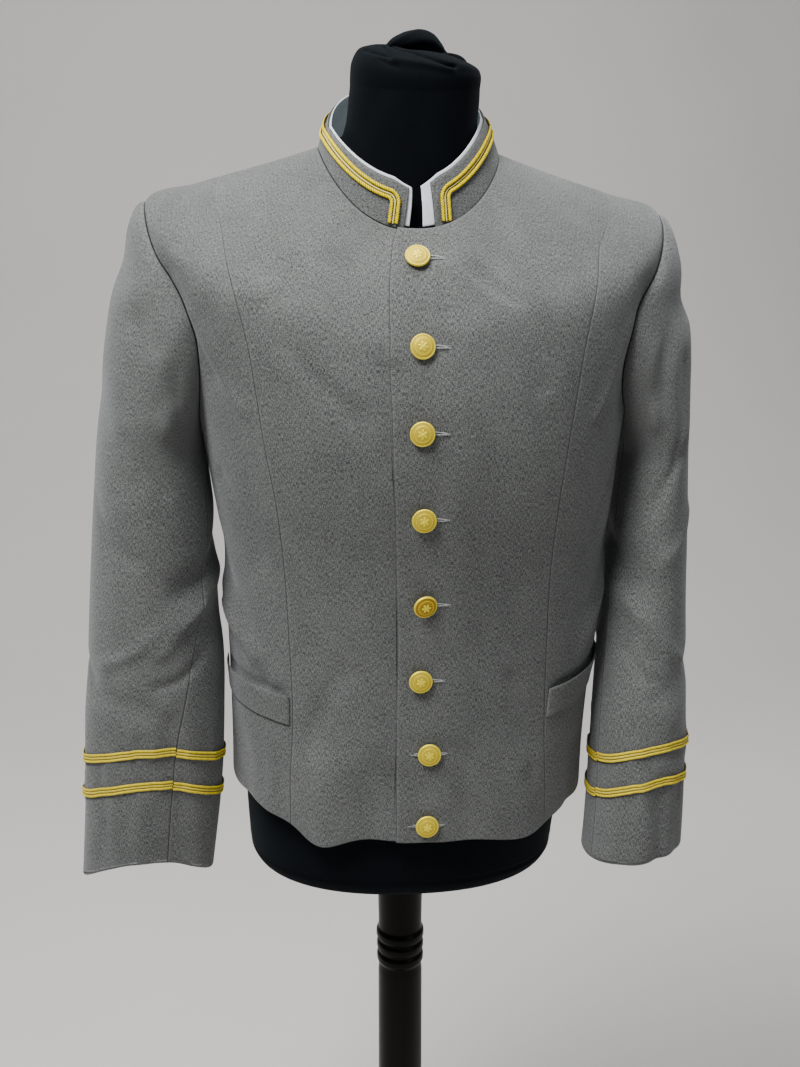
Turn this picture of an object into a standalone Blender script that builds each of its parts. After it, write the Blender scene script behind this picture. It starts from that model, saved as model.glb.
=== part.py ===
"""Stand-collar uniform jacket, buttoned over a limbless dress form on a turned pole.

Metres, +Z up. The front faces -Y, the wearer's left is +X, and the origin is the centre of the
base's underside. Tables and sizes are in millimetres, and MM turns them into metres.
The jacket's cloth is a thin wall on two surfaces. The body surface is a stack of rings from the
hem to the neckline: ring number `s` runs upward, and `theta` runs round from the front centre
(0) past the wearer's left side (90) to the centre back (180). The sleeve surface runs from the
armhole edge (t = 0) through the sleeve head to the cuff: `phi` is 0 on the outer side, 90 in
front, 180 towards the body and 270 behind.
"""

import math

import bmesh
import bpy
import numpy as np

MM = 0.001

WALL = 2.0                 # cloth wall
SEAM_GAP = 0.3             # between two pieces that are sewn together
LAY_GAP = 0.3              # between a panel and what lies on it
OVERLAP_LIFT = WALL + 1.0
OVERLAP_FADE = (28.0, 70.0)        # x where the left front sinks back to the body surface
UNDERLAP_REACH = 30.0      # how far the right front runs past the front edge, from x = 0
SQUARE = 0.87              # exponent that squares the body rings a little
SLEEVE_SQUARE = 0.94       # and the sleeve rings
SAMPLES = 481              # points along a line that a place is looked up on
SHARP_DEGREES = 40.0
LEAN_DEGREES = 1.2         # the form leans towards the wearer's left
LEAN_HEIGHT = 775.0

UNDERARM, SHOULDER_TIP, NECK = 6, 9, 13      # ring numbers; the hem is ring 0

BODY_NAMES = ("mid half front back side z_front z_left z_right z_back fall "
              "edge seam_left seam_right")
BODY_ROWS = (
    (5, 184, -133, 118, -4, 838, 850, 864, 838, 2.0, -18, 134, -120),
    (5, 184, -131, 116, -4, 905, 908, 912, 903, 2.0, -19, 131, -119),
    (6, 186, -128, 108, -4, 972, 972, 975, 970, 2.0, -20, 128, -118),
    (8, 190, -127, 97, -5, 1040, 1038, 1040, 1038, 2.0, -20, 126, -121),
    (7, 192, -131, 98, -5, 1110, 1109, 1110, 1110, 2.0, -23, 125, -125),
    (4, 199, -138, 106, -6, 1172, 1174, 1176, 1178, 1.8, -26, 128, -132),
    (1, 206, -141, 112, -6, 1222, 1234, 1237, 1240, 1.6, -29, 133, -142),
    (-2, 217, -139, 116, -4, 1264, 1298, 1301, 1305, 1.4, -31, 139, -149),
    (-5, 235, -133, 116, 0, 1302, 1365, 1369, 1368, 1.3, -33, 145, -156),
    (-7, 243, -125, 111, 5, 1336, 1431, 1435, 1418, 1.25, -33, 154, -167),
    (-7, 196, -114, 102, 7, 1362, 1449, 1452, 1446, 1.25, -33, 163, -178),
    (-7, 152, -99, 92, 8, 1386, 1462, 1465, 1468, 1.3, -31, 172, -186),
    (-7, 114, -84, 80, 7, 1404, 1474, 1476, 1486, 1.4, -28, 180, -187),
    (-7, 84, -72, 66, 4, 1417, 1484, 1485, 1500, 1.6, -23, 184, -190),
)
HEM_DIPS = (               # angle, spread in degrees, drop of the hem's edge
    (-28, 9, 13.0),
    (31, 14, 11.0),
    (152, 16, 7.0),
    (-150, 15, 6.0),
)
HEM_DIP_RINGS = 1.2        # the dips fade out over this many rings
PANEL_RINGS = (            # ring numbers where every panel has its points
    0, 0.5, 1.1, 1.65, 2.0, 2.35, 3.0, 3.6, 4.2, 4.8, 5.4, 6, 6.12, 6.45, 6.9, 7.35, 7.8, 8.2,
    8.6, 8.88, 9, 9.5, 10, 11, 11.6, 12.3, 13,
)
SLEEVE_RINGS = (0.018, 0.07, 0.16, 0.29, 0.46, 0.64, 0.82, 1, 1.7, 2.3, 3, 3.7, 4.4, 5.1, 6,
                6.86, 7.7, 8.4, 9)
FRONT_COLUMNS, SIDE_COLUMNS, BACK_COLUMNS = 8, 6, 8
SEAM_END = (0.12, 0.02)    # a shaped seam's last rings are this far below the shoulder seam
SEAM_EVEN_FROM = 1.2       # sleeve ring from which the columns are evenly spaced
SHOULDER_SEAM_X = {1: 182.0, -1: -187.0}        # where the shaped seams meet the shoulder seams

# Armhole: how far each edge swings from the side (degrees), and the ring where it is widest.
ARMHOLE_FRONT = (31.0, 7.9)
ARMHOLE_BACK = (28.0, 8.0)
ARMHOLE_POWER = 1.5

SLEEVE_NAMES = "z mid half_x mid_y half_y rise_front rise_back roll seam hind"
SLEEVE_ROWS = {
    -1: (
        (1200, -252.5, 52.5, 0, 78, 0, 0, 0, 160, 246),
        (1130, -251.5, 59.5, -7, 72, 2, -2, 0, 154, 247),
        (1060, -253.5, 62.5, -15, 65, 5, -4, 0, 139, 248),
        (1000, -252.5, 67, -25, 58, 7, -6, 0, 124, 249),
        (944, -254.5, 69, -36, 51, 11, -8, 0, 115, 250),
        (899, -256, 69, -43, 46, 19, -9, 0, 110, 250),
        (856, -258, 68, -49, 42, 22, -10, 0, 108, 250),
        (815, -261.5, 67, -54, 39, 23, -10, -1, 108, 250),
        (774, -265.5, 66, -57, 37, 26, -10, -2, 109, 250),
    ),
    1: (
        (1200, 244.5, 33, 0, 74, 0, 0, 0, 166, 246),
        (1130, 244, 37.5, -9, 69, 2, -2, 0, 166, 247),
        (1060, 242.5, 40.5, -23, 63, 3, -4, 0, 165, 248),
        (1000, 241, 44, -37, 58, 4, -6, 1, 164, 249),
        (946, 239.5, 46.5, -49, 55, 8, -7, 5, 162, 250),
        (904, 239, 48, -56, 53, 14, -8, 11, 160, 250),
        (861, 238.5, 49, -62, 52, 16, -9, 11, 158, 250),
        (824, 238, 50, -66, 51, 12, -10, 10, 158, 250),
        (794, 237.5, 51, -68, 50, 2, -14, 8, 158, 250),
    ),
}
SLEEVE_HEAD = {-1: (27.0, 0.42), 1: (31.0, 0.36)}    # reach of the head, share of the drop below
HEAD_FRONT = 13.0          # how far the head's front leads forward from the armhole
HEAD_DROP = (5.0, 17.0)    # how far it leads down, at the shoulder and under the arm

# Folds: soft ridges (+) and troughs (-), each from one place to another on its surface.
FOLD_NAMES = ("angle_0", "z_0", "angle_1", "z_1", "width", "depth")
BODY_FOLDS = (
    (-88, 1066, -56, 1016, 15, 4.0),
    (-84, 1108, -62, 1045, 17, -3.0),
    (-62, 1372, -57, 1290, 16, -4.0),
    (-30, 905, -28, 820, 26, 6.0),
    (-11, 900, -13, 820, 20, -3.5),
    (-68, 905, -64, 838, 22, -3.0),
    (24, 1398, 6, 1350, 15, -1.8),
    (-22, 1396, -7, 1345, 14, -1.8),
    (61, 1362, 66, 1262, 18, -4.0),
    (80, 1090, 58, 1034, 16, 2.5),
    (80, 1130, 60, 1072, 18, -2.6),
    (31, 905, 34, 820, 24, 4.0),
    (58, 905, 60, 820, 20, -3.0),
    (150, 1010, 148, 835, 26, 5.0),
    (-152, 1000, -150, 835, 24, 5.0),
    (180, 1000, 180, 840, 18, -3.0),
    (128, 1120, 158, 1062, 18, -3.5),
    (-126, 1130, -156, 1068, 18, -3.5),
    (122, 1180, 146, 1128, 16, 3.0),
    (-122, 1176, -144, 1120, 16, 3.0),
    (118, 1372, 124, 1280, 18, -3.5),
    (-118, 1372, -124, 1280, 18, -3.5),
)
SLEEVE_FOLDS = {
    -1: (
        (-40, 1392, 40, 1384, 20, -6.0),
        (60, 1335, 100, 1265, 15, -4.5),
        (20, 1262, 75, 1188, 18, -3.0),
        (190, 1120, 120, 1078, 14, -4.0),
        (180, 1082, 112, 1048, 12, 3.5),
        (-100, 1120, -40, 1068, 15, -4.0),
        (200, 1040, 262, 1082, 14, -3.5),
        (20, 985, 80, 962, 15, -2.5),
        (104, 945, 120, 800, 12, -3.0),
        (60, 905, 66, 790, 16, 2.5),
    ),
    1: (
        (-30, 1372, 40, 1356, 22, -5.0),
        (58, 1352, 96, 1270, 14, -5.0),
        (28, 1330, 62, 1230, 13, 3.0),
        (186, 1120, 118, 1084, 14, -4.0),
        (170, 1076, 110, 1050, 12, 2.5),
        (-100, 1112, -38, 1070, 15, -4.0),
        (200, 1040, 262, 1082, 14, -3.5),
        (24, 1000, 84, 972, 15, -2.5),
        (98, 880, 98, 790, 11, 3.0),
        (76, 880, 74, 790, 10, -3.0),
    ),
}
FOLDS_END_NECK = (0.6, 2.1)          # rings below the neck between which the folds fade in
FOLDS_START_ARMHOLE = (0.04, 0.44)   # and sleeve rings below the armhole
BODY_RADIUS = 165.0        # turns an angle into a length for the folds' widths
SLEEVE_RADIUS = 62.0

# Collar: ring of its top edge, and the x of its two ends there.
COLLAR_TOP = {"mid": -9.7, "half": 72.3, "front": -64.3, "back": 60.9, "side": 1.5,
              "z_front": 1458.5, "z_left": 1516.7, "z_right": 1504.9, "z_back": 1542.9,
              "fall": 1.7, "fall_back": 0.8, "square": 1.0}
COLLAR_DIP = (3.0, 16.0, 8.0)      # angle, spread and depth of its drop between the two ends
COLLAR_BULGE = 0.8
COLLAR_FOOT_GAP = 1.3
COLLAR_HEIGHT = 37.0
COLLAR_END_LEFT = 6.5
COLLAR_END_RIGHT = -12.0
COLLAR_END_SPREAD = 4.5    # the ends stand further apart at the seam
COLLAR_END_CLEAR = 4.0     # degrees from an end to the next column of points
LINER_WALL = 1.2
LINER_RISE = 2.4           # the liner stands above the collar's top edge
LINER_FOOT = 0.06          # height on the collar where the liner starts
LINER_PAST_LEFT = 8.0      # and past its ends
LINER_PAST_RIGHT = 1.6

BRAID_WIDTH = 9.0
BRAID_HEIGHT = 2.2
BRAID_BELOW_EDGE = 12.8    # collar's top edge to the braid's middle
BRAID_FROM_END = 10.6      # collar's end to the middle of the upright run
BRAID_CORNER = 5.5
BRAID_FOOT = 0.04          # height on the collar where the upright runs end
BRAID_LAY_GAP = 0.5
CUFF_BRAID_LAY_GAP = 0.8
BRAID_SHOULDER = 0.6       # height of a braid's edges, as a share of its middle's
CUFF_BRAID_WIDTH = 9.0
CUFF_BRAID_ROWS = {"upper": 5.0, "lower": 5.86}      # sleeve ring numbers of the two rings
CUFF_BRAID_PART = 0.6      # degrees from the front seam to each end of a ring

WELT_WALL = 1.5
WELT_HEIGHT = 30.0
WELT_TOP = {-1: (982.0, 991.0), 1: (985.0, 1004.0)}      # z at the shaped seam, z at the side
WELT_RING = 2.0
WELT_INSET = 1.0           # degrees from the shaped seam and from the side seam
WELT_LAY_GAP = 0.6

BUTTON_X = (-7, -4.5, -4, 0, 3.5, 2, 12, 11.5)
BUTTON_Z = (1393, 1321, 1247, 1168, 1084, 1007, 932, 857)
BUTTON_LAY_GAP = 0.5
BUTTON_PROFILE = (         # radius and height above the back of the button, top to bottom
    (0, 5.1), (5.0, 4.6), (9.0, 3.1), (10.6, 3.0), (11.25, 2.0), (10.6, 1.2), (3.1, 1.1),
    (3.0, 0.0), (0, 0.0),
)
BUTTON_STEPS = 16

FORM_COLUMNS, CAP_COLUMNS, KNOT_COLUMNS = 36, 28, 20
FORM_NAMES = "mid half front back side z_front z_left z_right z_back fall"
FORM_ROWS = (
    (0, 128, -92, 82, -6, 762, 762, 762, 762, 2.0),
    (0, 148, -109, 97, -6, 764.5, 764.5, 764.5, 764.5, 2.0),
    (0, 159, -117, 105, -6, 776, 776, 776, 776, 2.0),
    (0, 163, -119, 108, -6, 805, 805, 805, 805, 2.0),
    (2, 168, -118, 105, -6, 880, 880, 880, 880, 2.0),
    (3, 166, -113, 94, -6, 970, 970, 970, 970, 2.0),
    (3, 160, -107, 84, -6, 1045, 1045, 1045, 1045, 2.0),
    (2, 167, -117, 87, -6, 1120, 1122, 1122, 1122, 2.0),
    (0, 180, -127, 97, -6, 1200, 1206, 1206, 1206, 1.8),
    (-3, 190, -127, 103, -4, 1262, 1290, 1290, 1290, 1.5),
    (-6, 194, -121, 104, 0, 1300, 1360, 1362, 1352, 1.4),
    (-7, 182, -110, 96, 4, 1332, 1418, 1421, 1400, 1.3),
    (-7, 156, -97, 86, 6, 1358, 1452, 1455, 1434, 1.3),
    (-7, 120, -80, 72, 6, 1380, 1467.4, 1468.8, 1458, 1.4),
    (-7, 92, -66, 60, 4, 1398, 1476, 1476.6, 1478, 1.6),
    (-6, 68, -55, 50, 2, 1424, 1488, 1490, 1496, 2.0),
    (-5, 61, -50.5, 46, 0, 1464, 1504, 1505, 1512, 2.0),
    (-3, 60, -50, 45, 0, 1520, 1530, 1531, 1534, 2.0),
    (-2, 59, -50, 46, 0, 1547, 1547, 1551, 1549, 2.0),
)
CAP_ROWS = (               # neck cover: grows from the neck's rim, then closes over its top
    (-2, 60.0, -51.0, 47.0, 0, 1548.4, 1548.4, 1552.4, 1550.4, 2.0),
    (-1, 59.5, -51.0, 46.5, 0, 1553, 1552, 1562, 1557, 2.0),
    (0, 54, -47, 47, 0, 1562, 1558, 1572, 1565, 2.0),
    (-2, 42, -36, 36, 0, 1568, 1564, 1575, 1569, 2.0),
    (-5, 30, -24, 24, 0, 1570.5, 1568, 1576, 1571, 2.0),
)
KNOT_ROWS = (              # the gathered knot, lobed on its way up
    (-5, 27, -21, 20, 0, 1571.8, 1569.6, 1577.6, 1572.6, 2.0),
    (-5, 26, -22, 21, 0, 1575, 1573, 1580, 1575, 2.0),
    (-4, 19, -18, 18, 0, 1582, 1580, 1585, 1582, 2.0),
    (-3, 9, -10, 9, 0, 1587.5, 1586, 1588.5, 1587, 2.0),
)

POLE_PROFILE = (           # radius and height, top to bottom
    (0, 760.7), (45, 760.7), (46, 753), (40, 745), (26.5, 738), (25, 728), (24, 668), (24, 656),
    (26.5, 652), (26.5, 645), (23.5, 641), (26, 637), (26, 630), (23.5, 626), (26, 622),
    (26, 615), (23.5, 611), (24.5, 600), (25, 420), (26, 210), (30, 90), (38, 46), (40, 30.3),
    (0, 30.3),
)
POLE_STEPS = 20
BASE_PROFILE = (
    (0, 30), (60, 30), (120, 28), (168, 22), (184, 17), (190, 10), (190, 3), (187, 0), (0, 0),
)
BASE_STEPS = 40

COLOURS = {                # red, green, blue, roughness, metallic
    "wool": (0.125, 0.118, 0.108, 0.85, 0.0),
    "liner": (0.72, 0.74, 0.76, 0.75, 0.0),
    "braid": (0.62, 0.40, 0.06, 0.45, 0.3),
    "button": (0.66, 0.42, 0.12, 0.36, 1.0),
    "jersey": (0.006, 0.007, 0.010, 0.9, 0.0),
    "lacquer": (0.008, 0.007, 0.007, 0.2, 0.0),
}


def table(names, rows):
    """Return a table as one array of numbers for each named column."""
    numbers = np.array(rows, dtype=float)
    return {name: numbers[:, i] for i, name in enumerate(names.split())}


def read(column, at):
    """Read a column at a fractional row number, on a curve through its rows."""
    at = np.clip(np.asarray(at, dtype=float), 0.0, len(column) - 1.0)
    low = np.minimum(at.astype(int), len(column) - 2)
    part = at - low
    padded = np.concatenate(([2 * column[0] - column[1]], column, [2 * column[-1] - column[-2]]))
    before, here, there, after = (padded[low + i] for i in range(4))
    slope_here = (there - before) / 2
    slope_there = (after - here) / 2
    rise = there - here
    return (here + part * slope_here + part ** 2 * (3 * rise - 2 * slope_here - slope_there)
            + part ** 3 * (slope_here + slope_there - 2 * rise))


def ring(row, theta):
    """Return points on one body ring, or on many when the row's values are arrays."""
    angle = np.radians(theta)
    across, along = np.sin(angle), np.cos(angle)
    square = row.get("square", SQUARE)
    x = row["mid"] + row["half"] * np.sign(across) * np.abs(across) ** square
    end = np.where(along > 0, row["front"], row["back"])
    y = row["side"] + (end - row["side"]) * np.abs(along) ** square
    z_side = np.where(across > 0, row["z_left"], row["z_right"])
    z_end = np.where(along > 0, row["z_front"], row["z_back"])
    fall = np.where(along > 0, row["fall"], row.get("fall_back", row["fall"]))
    z = z_side + (z_end - z_side) * np.abs(along) ** fall
    return np.stack(np.broadcast_arrays(x, y, z), axis=-1)


def fold_height(folds, angle, z, radius):
    """Return how far the folds lift the surface at an angle and a height."""
    lift = np.zeros(np.broadcast(angle, z).shape)
    scale = math.radians(1) * radius
    for row in folds:
        fold = dict(zip(FOLD_NAMES, row))
        run = np.array([(fold["angle_1"] - fold["angle_0"]) * scale, fold["z_1"] - fold["z_0"]])
        u = wrapped(np.asarray(angle) - fold["angle_0"]) * scale
        v = np.asarray(z) - fold["z_0"]
        along = np.clip((u * run[0] + v * run[1]) / (run @ run), 0, 1)
        away = np.hypot(u - along * run[0], v - along * run[1])
        lift = lift + fold["depth"] * np.exp(-(away / fold["width"]) ** 2)
    return lift


def wrapped(turn):
    """Return an angle in degrees within half a turn of zero."""
    return (turn + 180) % 360 - 180


def unit(vectors):
    """Return vectors at length one."""
    return vectors / np.maximum(np.linalg.norm(vectors, axis=-1, keepdims=True), 1e-9)


class Body:
    """The jacket's body surface, in millimetres."""

    def __init__(self):
        self.rows = table(BODY_NAMES, BODY_ROWS)

    def plain(self, theta, s):
        """Return points of the surface without its folds."""
        row = {name: read(column, s) for name, column in self.rows.items()}
        points = ring(row, theta)
        near_hem = np.clip(1 - np.asarray(s) / HEM_DIP_RINGS, 0, 1) ** 2
        for angle, spread_by, drop in HEM_DIPS:
            turn = wrapped(theta - angle)
            points[..., 2] -= drop * near_hem * np.exp(-(turn / spread_by) ** 2)
        return points

    def normal(self, theta, s):
        """Return the outward normals of the plain surface."""
        step_a, step_s = 0.5, 0.04
        s_low = np.clip(np.asarray(s) - step_s, 0, NECK)
        s_high = np.clip(np.asarray(s) + step_s, 0, NECK)
        round_it = self.plain(theta + step_a, s) - self.plain(theta - step_a, s)
        up_it = self.plain(theta, s_high) - self.plain(theta, s_low)
        return unit(np.cross(round_it, up_it))

    def points(self, theta, s, out=0.0):
        """Return points on the folded surface, moved out by a distance."""
        theta, s = np.broadcast_arrays(np.asarray(theta, float), np.asarray(s, float))
        base = self.plain(theta, s)
        lift = fold_height(BODY_FOLDS, theta, base[..., 2], BODY_RADIUS)
        end, start = FOLDS_END_NECK
        lift = lift * np.clip((NECK - end - s) / (start - end), 0, 1)
        return base + self.normal(theta, s) * (lift + out)[..., None]

    def angle_at_x(self, x, s):
        """Return the angle, on the front, where a ring passes through x."""
        reach = (x - read(self.rows["mid"], s)) / read(self.rows["half"], s)
        sine = np.clip(np.abs(reach), 0, 1) ** (1 / SQUARE)
        return np.degrees(np.arcsin(sine)) * np.sign(reach)

    def gap_angle(self, theta, s, gap):
        """Return the angle that a distance along a ring spans."""
        step = np.linalg.norm(self.plain(theta + 0.5, s) - self.plain(theta - 0.5, s), axis=-1)
        return gap / np.maximum(step, 0.5)

    def shaped_seam(self, side, s):
        """Return the angle of the seam between a front and its side front."""
        name = "seam_left" if side > 0 else "seam_right"
        return self.angle_at_x(read(self.rows[name], s), s)

    def seam_top(self, side):
        """Return the ring number where the shaped seam reaches the shoulder seam."""
        s = np.linspace(SHOULDER_TIP, NECK, SAMPLES)
        side_x = read(self.rows["mid"], s) + side * read(self.rows["half"], s)
        return float(s[np.argmax(side * (side_x - SHOULDER_SEAM_X[side]) < 0)])


BODY = Body()


def armhole_angle(s, front=True):
    """Return the angle of an armhole edge on the wearer's left, and 90 past its ends."""
    swing, widest = ARMHOLE_FRONT if front else ARMHOLE_BACK
    s = np.asarray(s, dtype=float)
    half = np.where(s < widest, widest - UNDERARM, SHOULDER_TIP - widest)
    part = np.clip(np.abs(s - widest) / half, 0, 1)
    reach = swing * np.sqrt(1 - part ** ARMHOLE_POWER)
    return 90 - reach if front else 90 + reach


def overlap_lift(x):
    """Return how far the left front is lifted where it lies on the right front."""
    start, end = OVERLAP_FADE
    part = np.clip((x - start) / (end - start), 0, 1)
    return OVERLAP_LIFT * (1 - part * part * (3 - 2 * part))


class Sleeve:
    """One sleeve's surface, in millimetres; side is +1 for the wearer's left."""

    HEAD_END = 1.0         # t of the first whole ring below the armhole

    def __init__(self, side):
        self.side = side
        self.rows = table(SLEEVE_NAMES, SLEEVE_ROWS[side])
        self.edges = {}
        self.ring_angles = {}
        for front in (True, False):
            self.edges[front], self.ring_angles[front] = self.armhole_edge(front)

    def armhole_edge(self, front):
        """Return even points from the shoulder tip to the underarm, and the panels' angles."""
        part = np.linspace(0, math.pi, SAMPLES)
        s = UNDERARM + (SHOULDER_TIP - UNDERARM) * (1 + np.cos(part)) / 2
        line = BODY.points(self.side * armhole_angle(s, front), s)
        steps = np.linalg.norm(np.diff(line, axis=0), axis=1)
        at = np.concatenate(([0], np.cumsum(steps)))
        even = np.linspace(0, at[-1], SAMPLES)
        points = np.stack([np.interp(even, at, line[:, i]) for i in range(3)], axis=-1)
        beside = [ring for ring in PANEL_RINGS if UNDERARM <= ring <= SHOULDER_TIP]
        angles = np.interp(beside, s[::-1], at[::-1]) / at[-1] * 180
        return points, angles

    def armhole(self, phi):
        """Return the armhole point that an angle of the sleeve starts from."""
        phi = np.asarray(phi) % 360
        front = phi <= 180
        count = len(self.edges[True]) - 1
        at = np.where(front, phi, 360 - phi) / 180 * count
        low = np.minimum(at.astype(int), count - 1)
        part = (at - low)[..., None]
        lines = {key: line[low] * (1 - part) + line[low + 1] * part
                 for key, line in self.edges.items()}
        return np.where(front[..., None], lines[True], lines[False])

    def tube(self, phi, row):
        """Return points on the rings below the armhole; row 0 is the first ring."""
        angle = np.radians(phi)
        values = {name: read(column, row) for name, column in self.rows.items()}
        out, front = np.cos(angle), np.sin(angle)
        x_reach = np.sign(out) * np.abs(out) ** SLEEVE_SQUARE
        y_reach = np.sign(front) * np.abs(front) ** SLEEVE_SQUARE
        x = values["mid"] + self.side * values["half_x"] * x_reach
        y = values["mid_y"] - values["half_y"] * y_reach
        rise = np.where(front > 0, values["rise_front"], values["rise_back"])
        z = values["z"] + rise * front ** 2 + values["roll"] * out
        return np.stack(np.broadcast_arrays(x, y, z), axis=-1)

    def head(self, phi, t):
        """Return points of the sleeve head; t runs from 0 at the armhole to 1."""
        angle = np.radians(phi)
        reach, share = SLEEVE_HEAD[self.side]
        start = self.armhole(phi)
        end = self.tube(phi, 0.0)
        out, front = np.cos(angle), np.sin(angle)
        drop = np.linalg.norm(end - start, axis=-1)
        outward = (1 + out) / 2
        lead = np.stack([self.side * reach * outward,
                         -HEAD_FRONT * front,
                         -HEAD_DROP[1] + (HEAD_DROP[1] - HEAD_DROP[0]) * outward], axis=-1)
        climb = unit(end - self.tube(phi, 0.6)) * (drop * share)[..., None]
        t = t[..., None]
        return (start * (1 - t) ** 3 + (start + lead) * 3 * t * (1 - t) ** 2
                + (end + climb) * 3 * t ** 2 * (1 - t) + end * t ** 3)

    def plain(self, phi, t):
        """Return points of the surface without its folds; t - 1 is the tube's row number."""
        phi, t = np.broadcast_arrays(np.asarray(phi, float), np.asarray(t, float))
        top = self.head(phi, np.clip(t, 0, 1))
        below = self.tube(phi, np.clip(t - self.HEAD_END, 0, None))
        return np.where((t < self.HEAD_END)[..., None], top, below)

    def normal(self, phi, t):
        """Return the outward normals of the plain surface."""
        last = self.HEAD_END + len(self.rows["z"]) - 1
        t_low, t_high = np.clip(t - 0.03, 0, last), np.clip(t + 0.03, 0, last)
        round_it = self.plain(phi + 1.0, t) - self.plain(phi - 1.0, t)
        down_it = self.plain(phi, t_high) - self.plain(phi, t_low)
        return unit(np.cross(down_it, round_it)) * -self.side

    def points(self, phi, t, out=0.0):
        """Return points on the folded surface, moved out by a distance."""
        phi, t = np.broadcast_arrays(np.asarray(phi, float), np.asarray(t, float))
        base = self.plain(phi, t)
        lift = fold_height(SLEEVE_FOLDS[self.side], phi, base[..., 2], SLEEVE_RADIUS)
        start, end = FOLDS_START_ARMHOLE
        lift = lift * np.clip((t - start) / (end - start), 0, 1)
        return base + self.normal(phi, t) * (lift + out)[..., None]

    def seam(self, name, t):
        """Return the angle of the front seam or of the hind seam."""
        return read(self.rows[name], np.asarray(t) - self.HEAD_END)

    def gap_angle(self, phi, t, gap):
        """Return the angle that a distance round the sleeve spans."""
        step = np.linalg.norm(self.plain(phi + 1, t) - self.plain(phi - 1, t), axis=-1) / 2
        return gap / np.maximum(step, 0.25)


SLEEVES = {side: Sleeve(side) for side in (-1, 1)}
SIDE_NAME = {-1: "right", 1: "left"}


def collar_end(x, top=True):
    """Return the angle where the collar's top edge or its seam passes through x."""
    seam = {name: column[NECK] for name, column in BODY.rows.items()}
    edge = COLLAR_TOP if top else seam
    reach = (x - edge["mid"]) / edge["half"]
    sine = abs(reach) ** (1 / edge.get("square", SQUARE))
    return math.degrees(math.asin(sine)) * math.copysign(1, reach)


def collar_points(theta, v, out=0.0):
    """Return points of the collar: v is 0 at its seam and 1 at its top edge."""
    theta, v = np.broadcast_arrays(np.asarray(theta, float), np.asarray(v, float))

    def plain(angle, height):
        foot = BODY.plain(angle, np.full(angle.shape, float(NECK)))
        foot = foot + np.array([0, 0, COLLAR_FOOT_GAP])
        head = ring(COLLAR_TOP, angle)
        middle, width, depth = COLLAR_DIP
        head[..., 2] -= depth * np.clip(1 - np.abs(wrapped(angle - middle)) / width, 0, 1)
        return foot + (head - foot) * height[..., None]

    base = plain(theta, v)
    normal = unit(np.cross(plain(theta + 1, v) - plain(theta - 1, v),
                           plain(theta, v + 0.05) - plain(theta, v - 0.05)))
    bulge = COLLAR_BULGE * np.sin(np.pi * np.clip(v, 0, 1))
    return base + normal * (bulge + out)[..., None]


def make_material(name):
    """Return a Principled material from the colour table."""
    material = bpy.data.materials.new(name)
    material.use_nodes = True
    red, green, blue, roughness, metallic = COLOURS[name]
    shader = material.node_tree.nodes["Principled BSDF"]
    shader.inputs["Base Color"].default_value = (red, green, blue, 1)
    shader.inputs["Roughness"].default_value = roughness
    shader.inputs["Metallic"].default_value = metallic
    return material


def add_object(name, mesh, finish, parent=None):
    """Put a mesh in the jacket's collection as a named object with its own material."""
    thing = bpy.data.objects.new(name, mesh)
    PARTS.objects.link(thing)
    material = make_material(finish)
    material.name = name + "_finish"
    mesh.materials.append(material)
    if parent is not None:
        thing.parent = parent
        thing.location = (0, 0, -LEAN_HEIGHT * MM)
    return thing


def shell_mesh(name, outer, inner):
    """Return a closed wall between two grids of points, in millimetres."""
    rows, cols = outer.shape[:2]
    mesh = bmesh.new()
    skins = [[[mesh.verts.new(point * MM) for point in line] for line in grid]
             for grid in (outer, inner)]
    front, back = skins

    def quad(*corners):
        mesh.faces.new(corners)

    for i in range(rows - 1):
        for j in range(cols - 1):
            quad(front[i][j], front[i][j + 1], front[i + 1][j + 1], front[i + 1][j])
            quad(back[i][j], back[i + 1][j], back[i + 1][j + 1], back[i][j + 1])
    for j in range(cols - 1):
        quad(front[0][j + 1], front[0][j], back[0][j], back[0][j + 1])
        quad(front[-1][j], front[-1][j + 1], back[-1][j + 1], back[-1][j])
    for i in range(rows - 1):
        quad(front[i][0], front[i + 1][0], back[i + 1][0], back[i][0])
        quad(front[i + 1][-1], front[i][-1], back[i][-1], back[i + 1][-1])
    bmesh.ops.recalc_face_normals(mesh, faces=mesh.faces)
    data = bpy.data.meshes.new(name)
    mesh.to_mesh(data)
    mesh.free()
    data.shade_smooth()
    data.set_sharp_from_angle(angle=math.radians(SHARP_DEGREES))
    return data


def tube_mesh(name, sections):
    """Return a mesh through rings of points, in millimetres, with its ends capped."""
    mesh = bmesh.new()
    rings = [[mesh.verts.new(point * MM) for point in section] for section in sections]
    count = len(rings[0])
    for low, high in zip(rings, rings[1:]):
        for i in range(count):
            j = (i + 1) % count
            mesh.faces.new((low[i], low[j], high[j], high[i]))
    mesh.faces.new(rings[0][::-1])
    mesh.faces.new(rings[-1])
    bmesh.ops.recalc_face_normals(mesh, faces=mesh.faces)
    data = bpy.data.meshes.new(name)
    mesh.to_mesh(data)
    mesh.free()
    data.shade_smooth()
    data.set_sharp_from_angle(angle=math.radians(SHARP_DEGREES))
    return data


def spread(low, high, count):
    """Return rows of evenly spaced angles between two edges."""
    share = np.linspace(0, 1, count)
    return low[:, None] * (1 - share) + high[:, None] * share


def body_panel(name, s, theta, lifted=False):
    """Add one cloth panel of the body from its ring numbers and its angles on each ring."""
    rings = np.repeat(s[:, None], theta.shape[1], axis=1)
    lift = overlap_lift(BODY.plain(theta, rings)[..., 0]) if lifted else np.zeros(theta.shape)
    outer = BODY.points(theta, rings, lift)
    inner = BODY.points(theta, rings, lift - WALL)
    return add_object(name, shell_mesh(name, outer, inner), "wool", LEAN)


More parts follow.
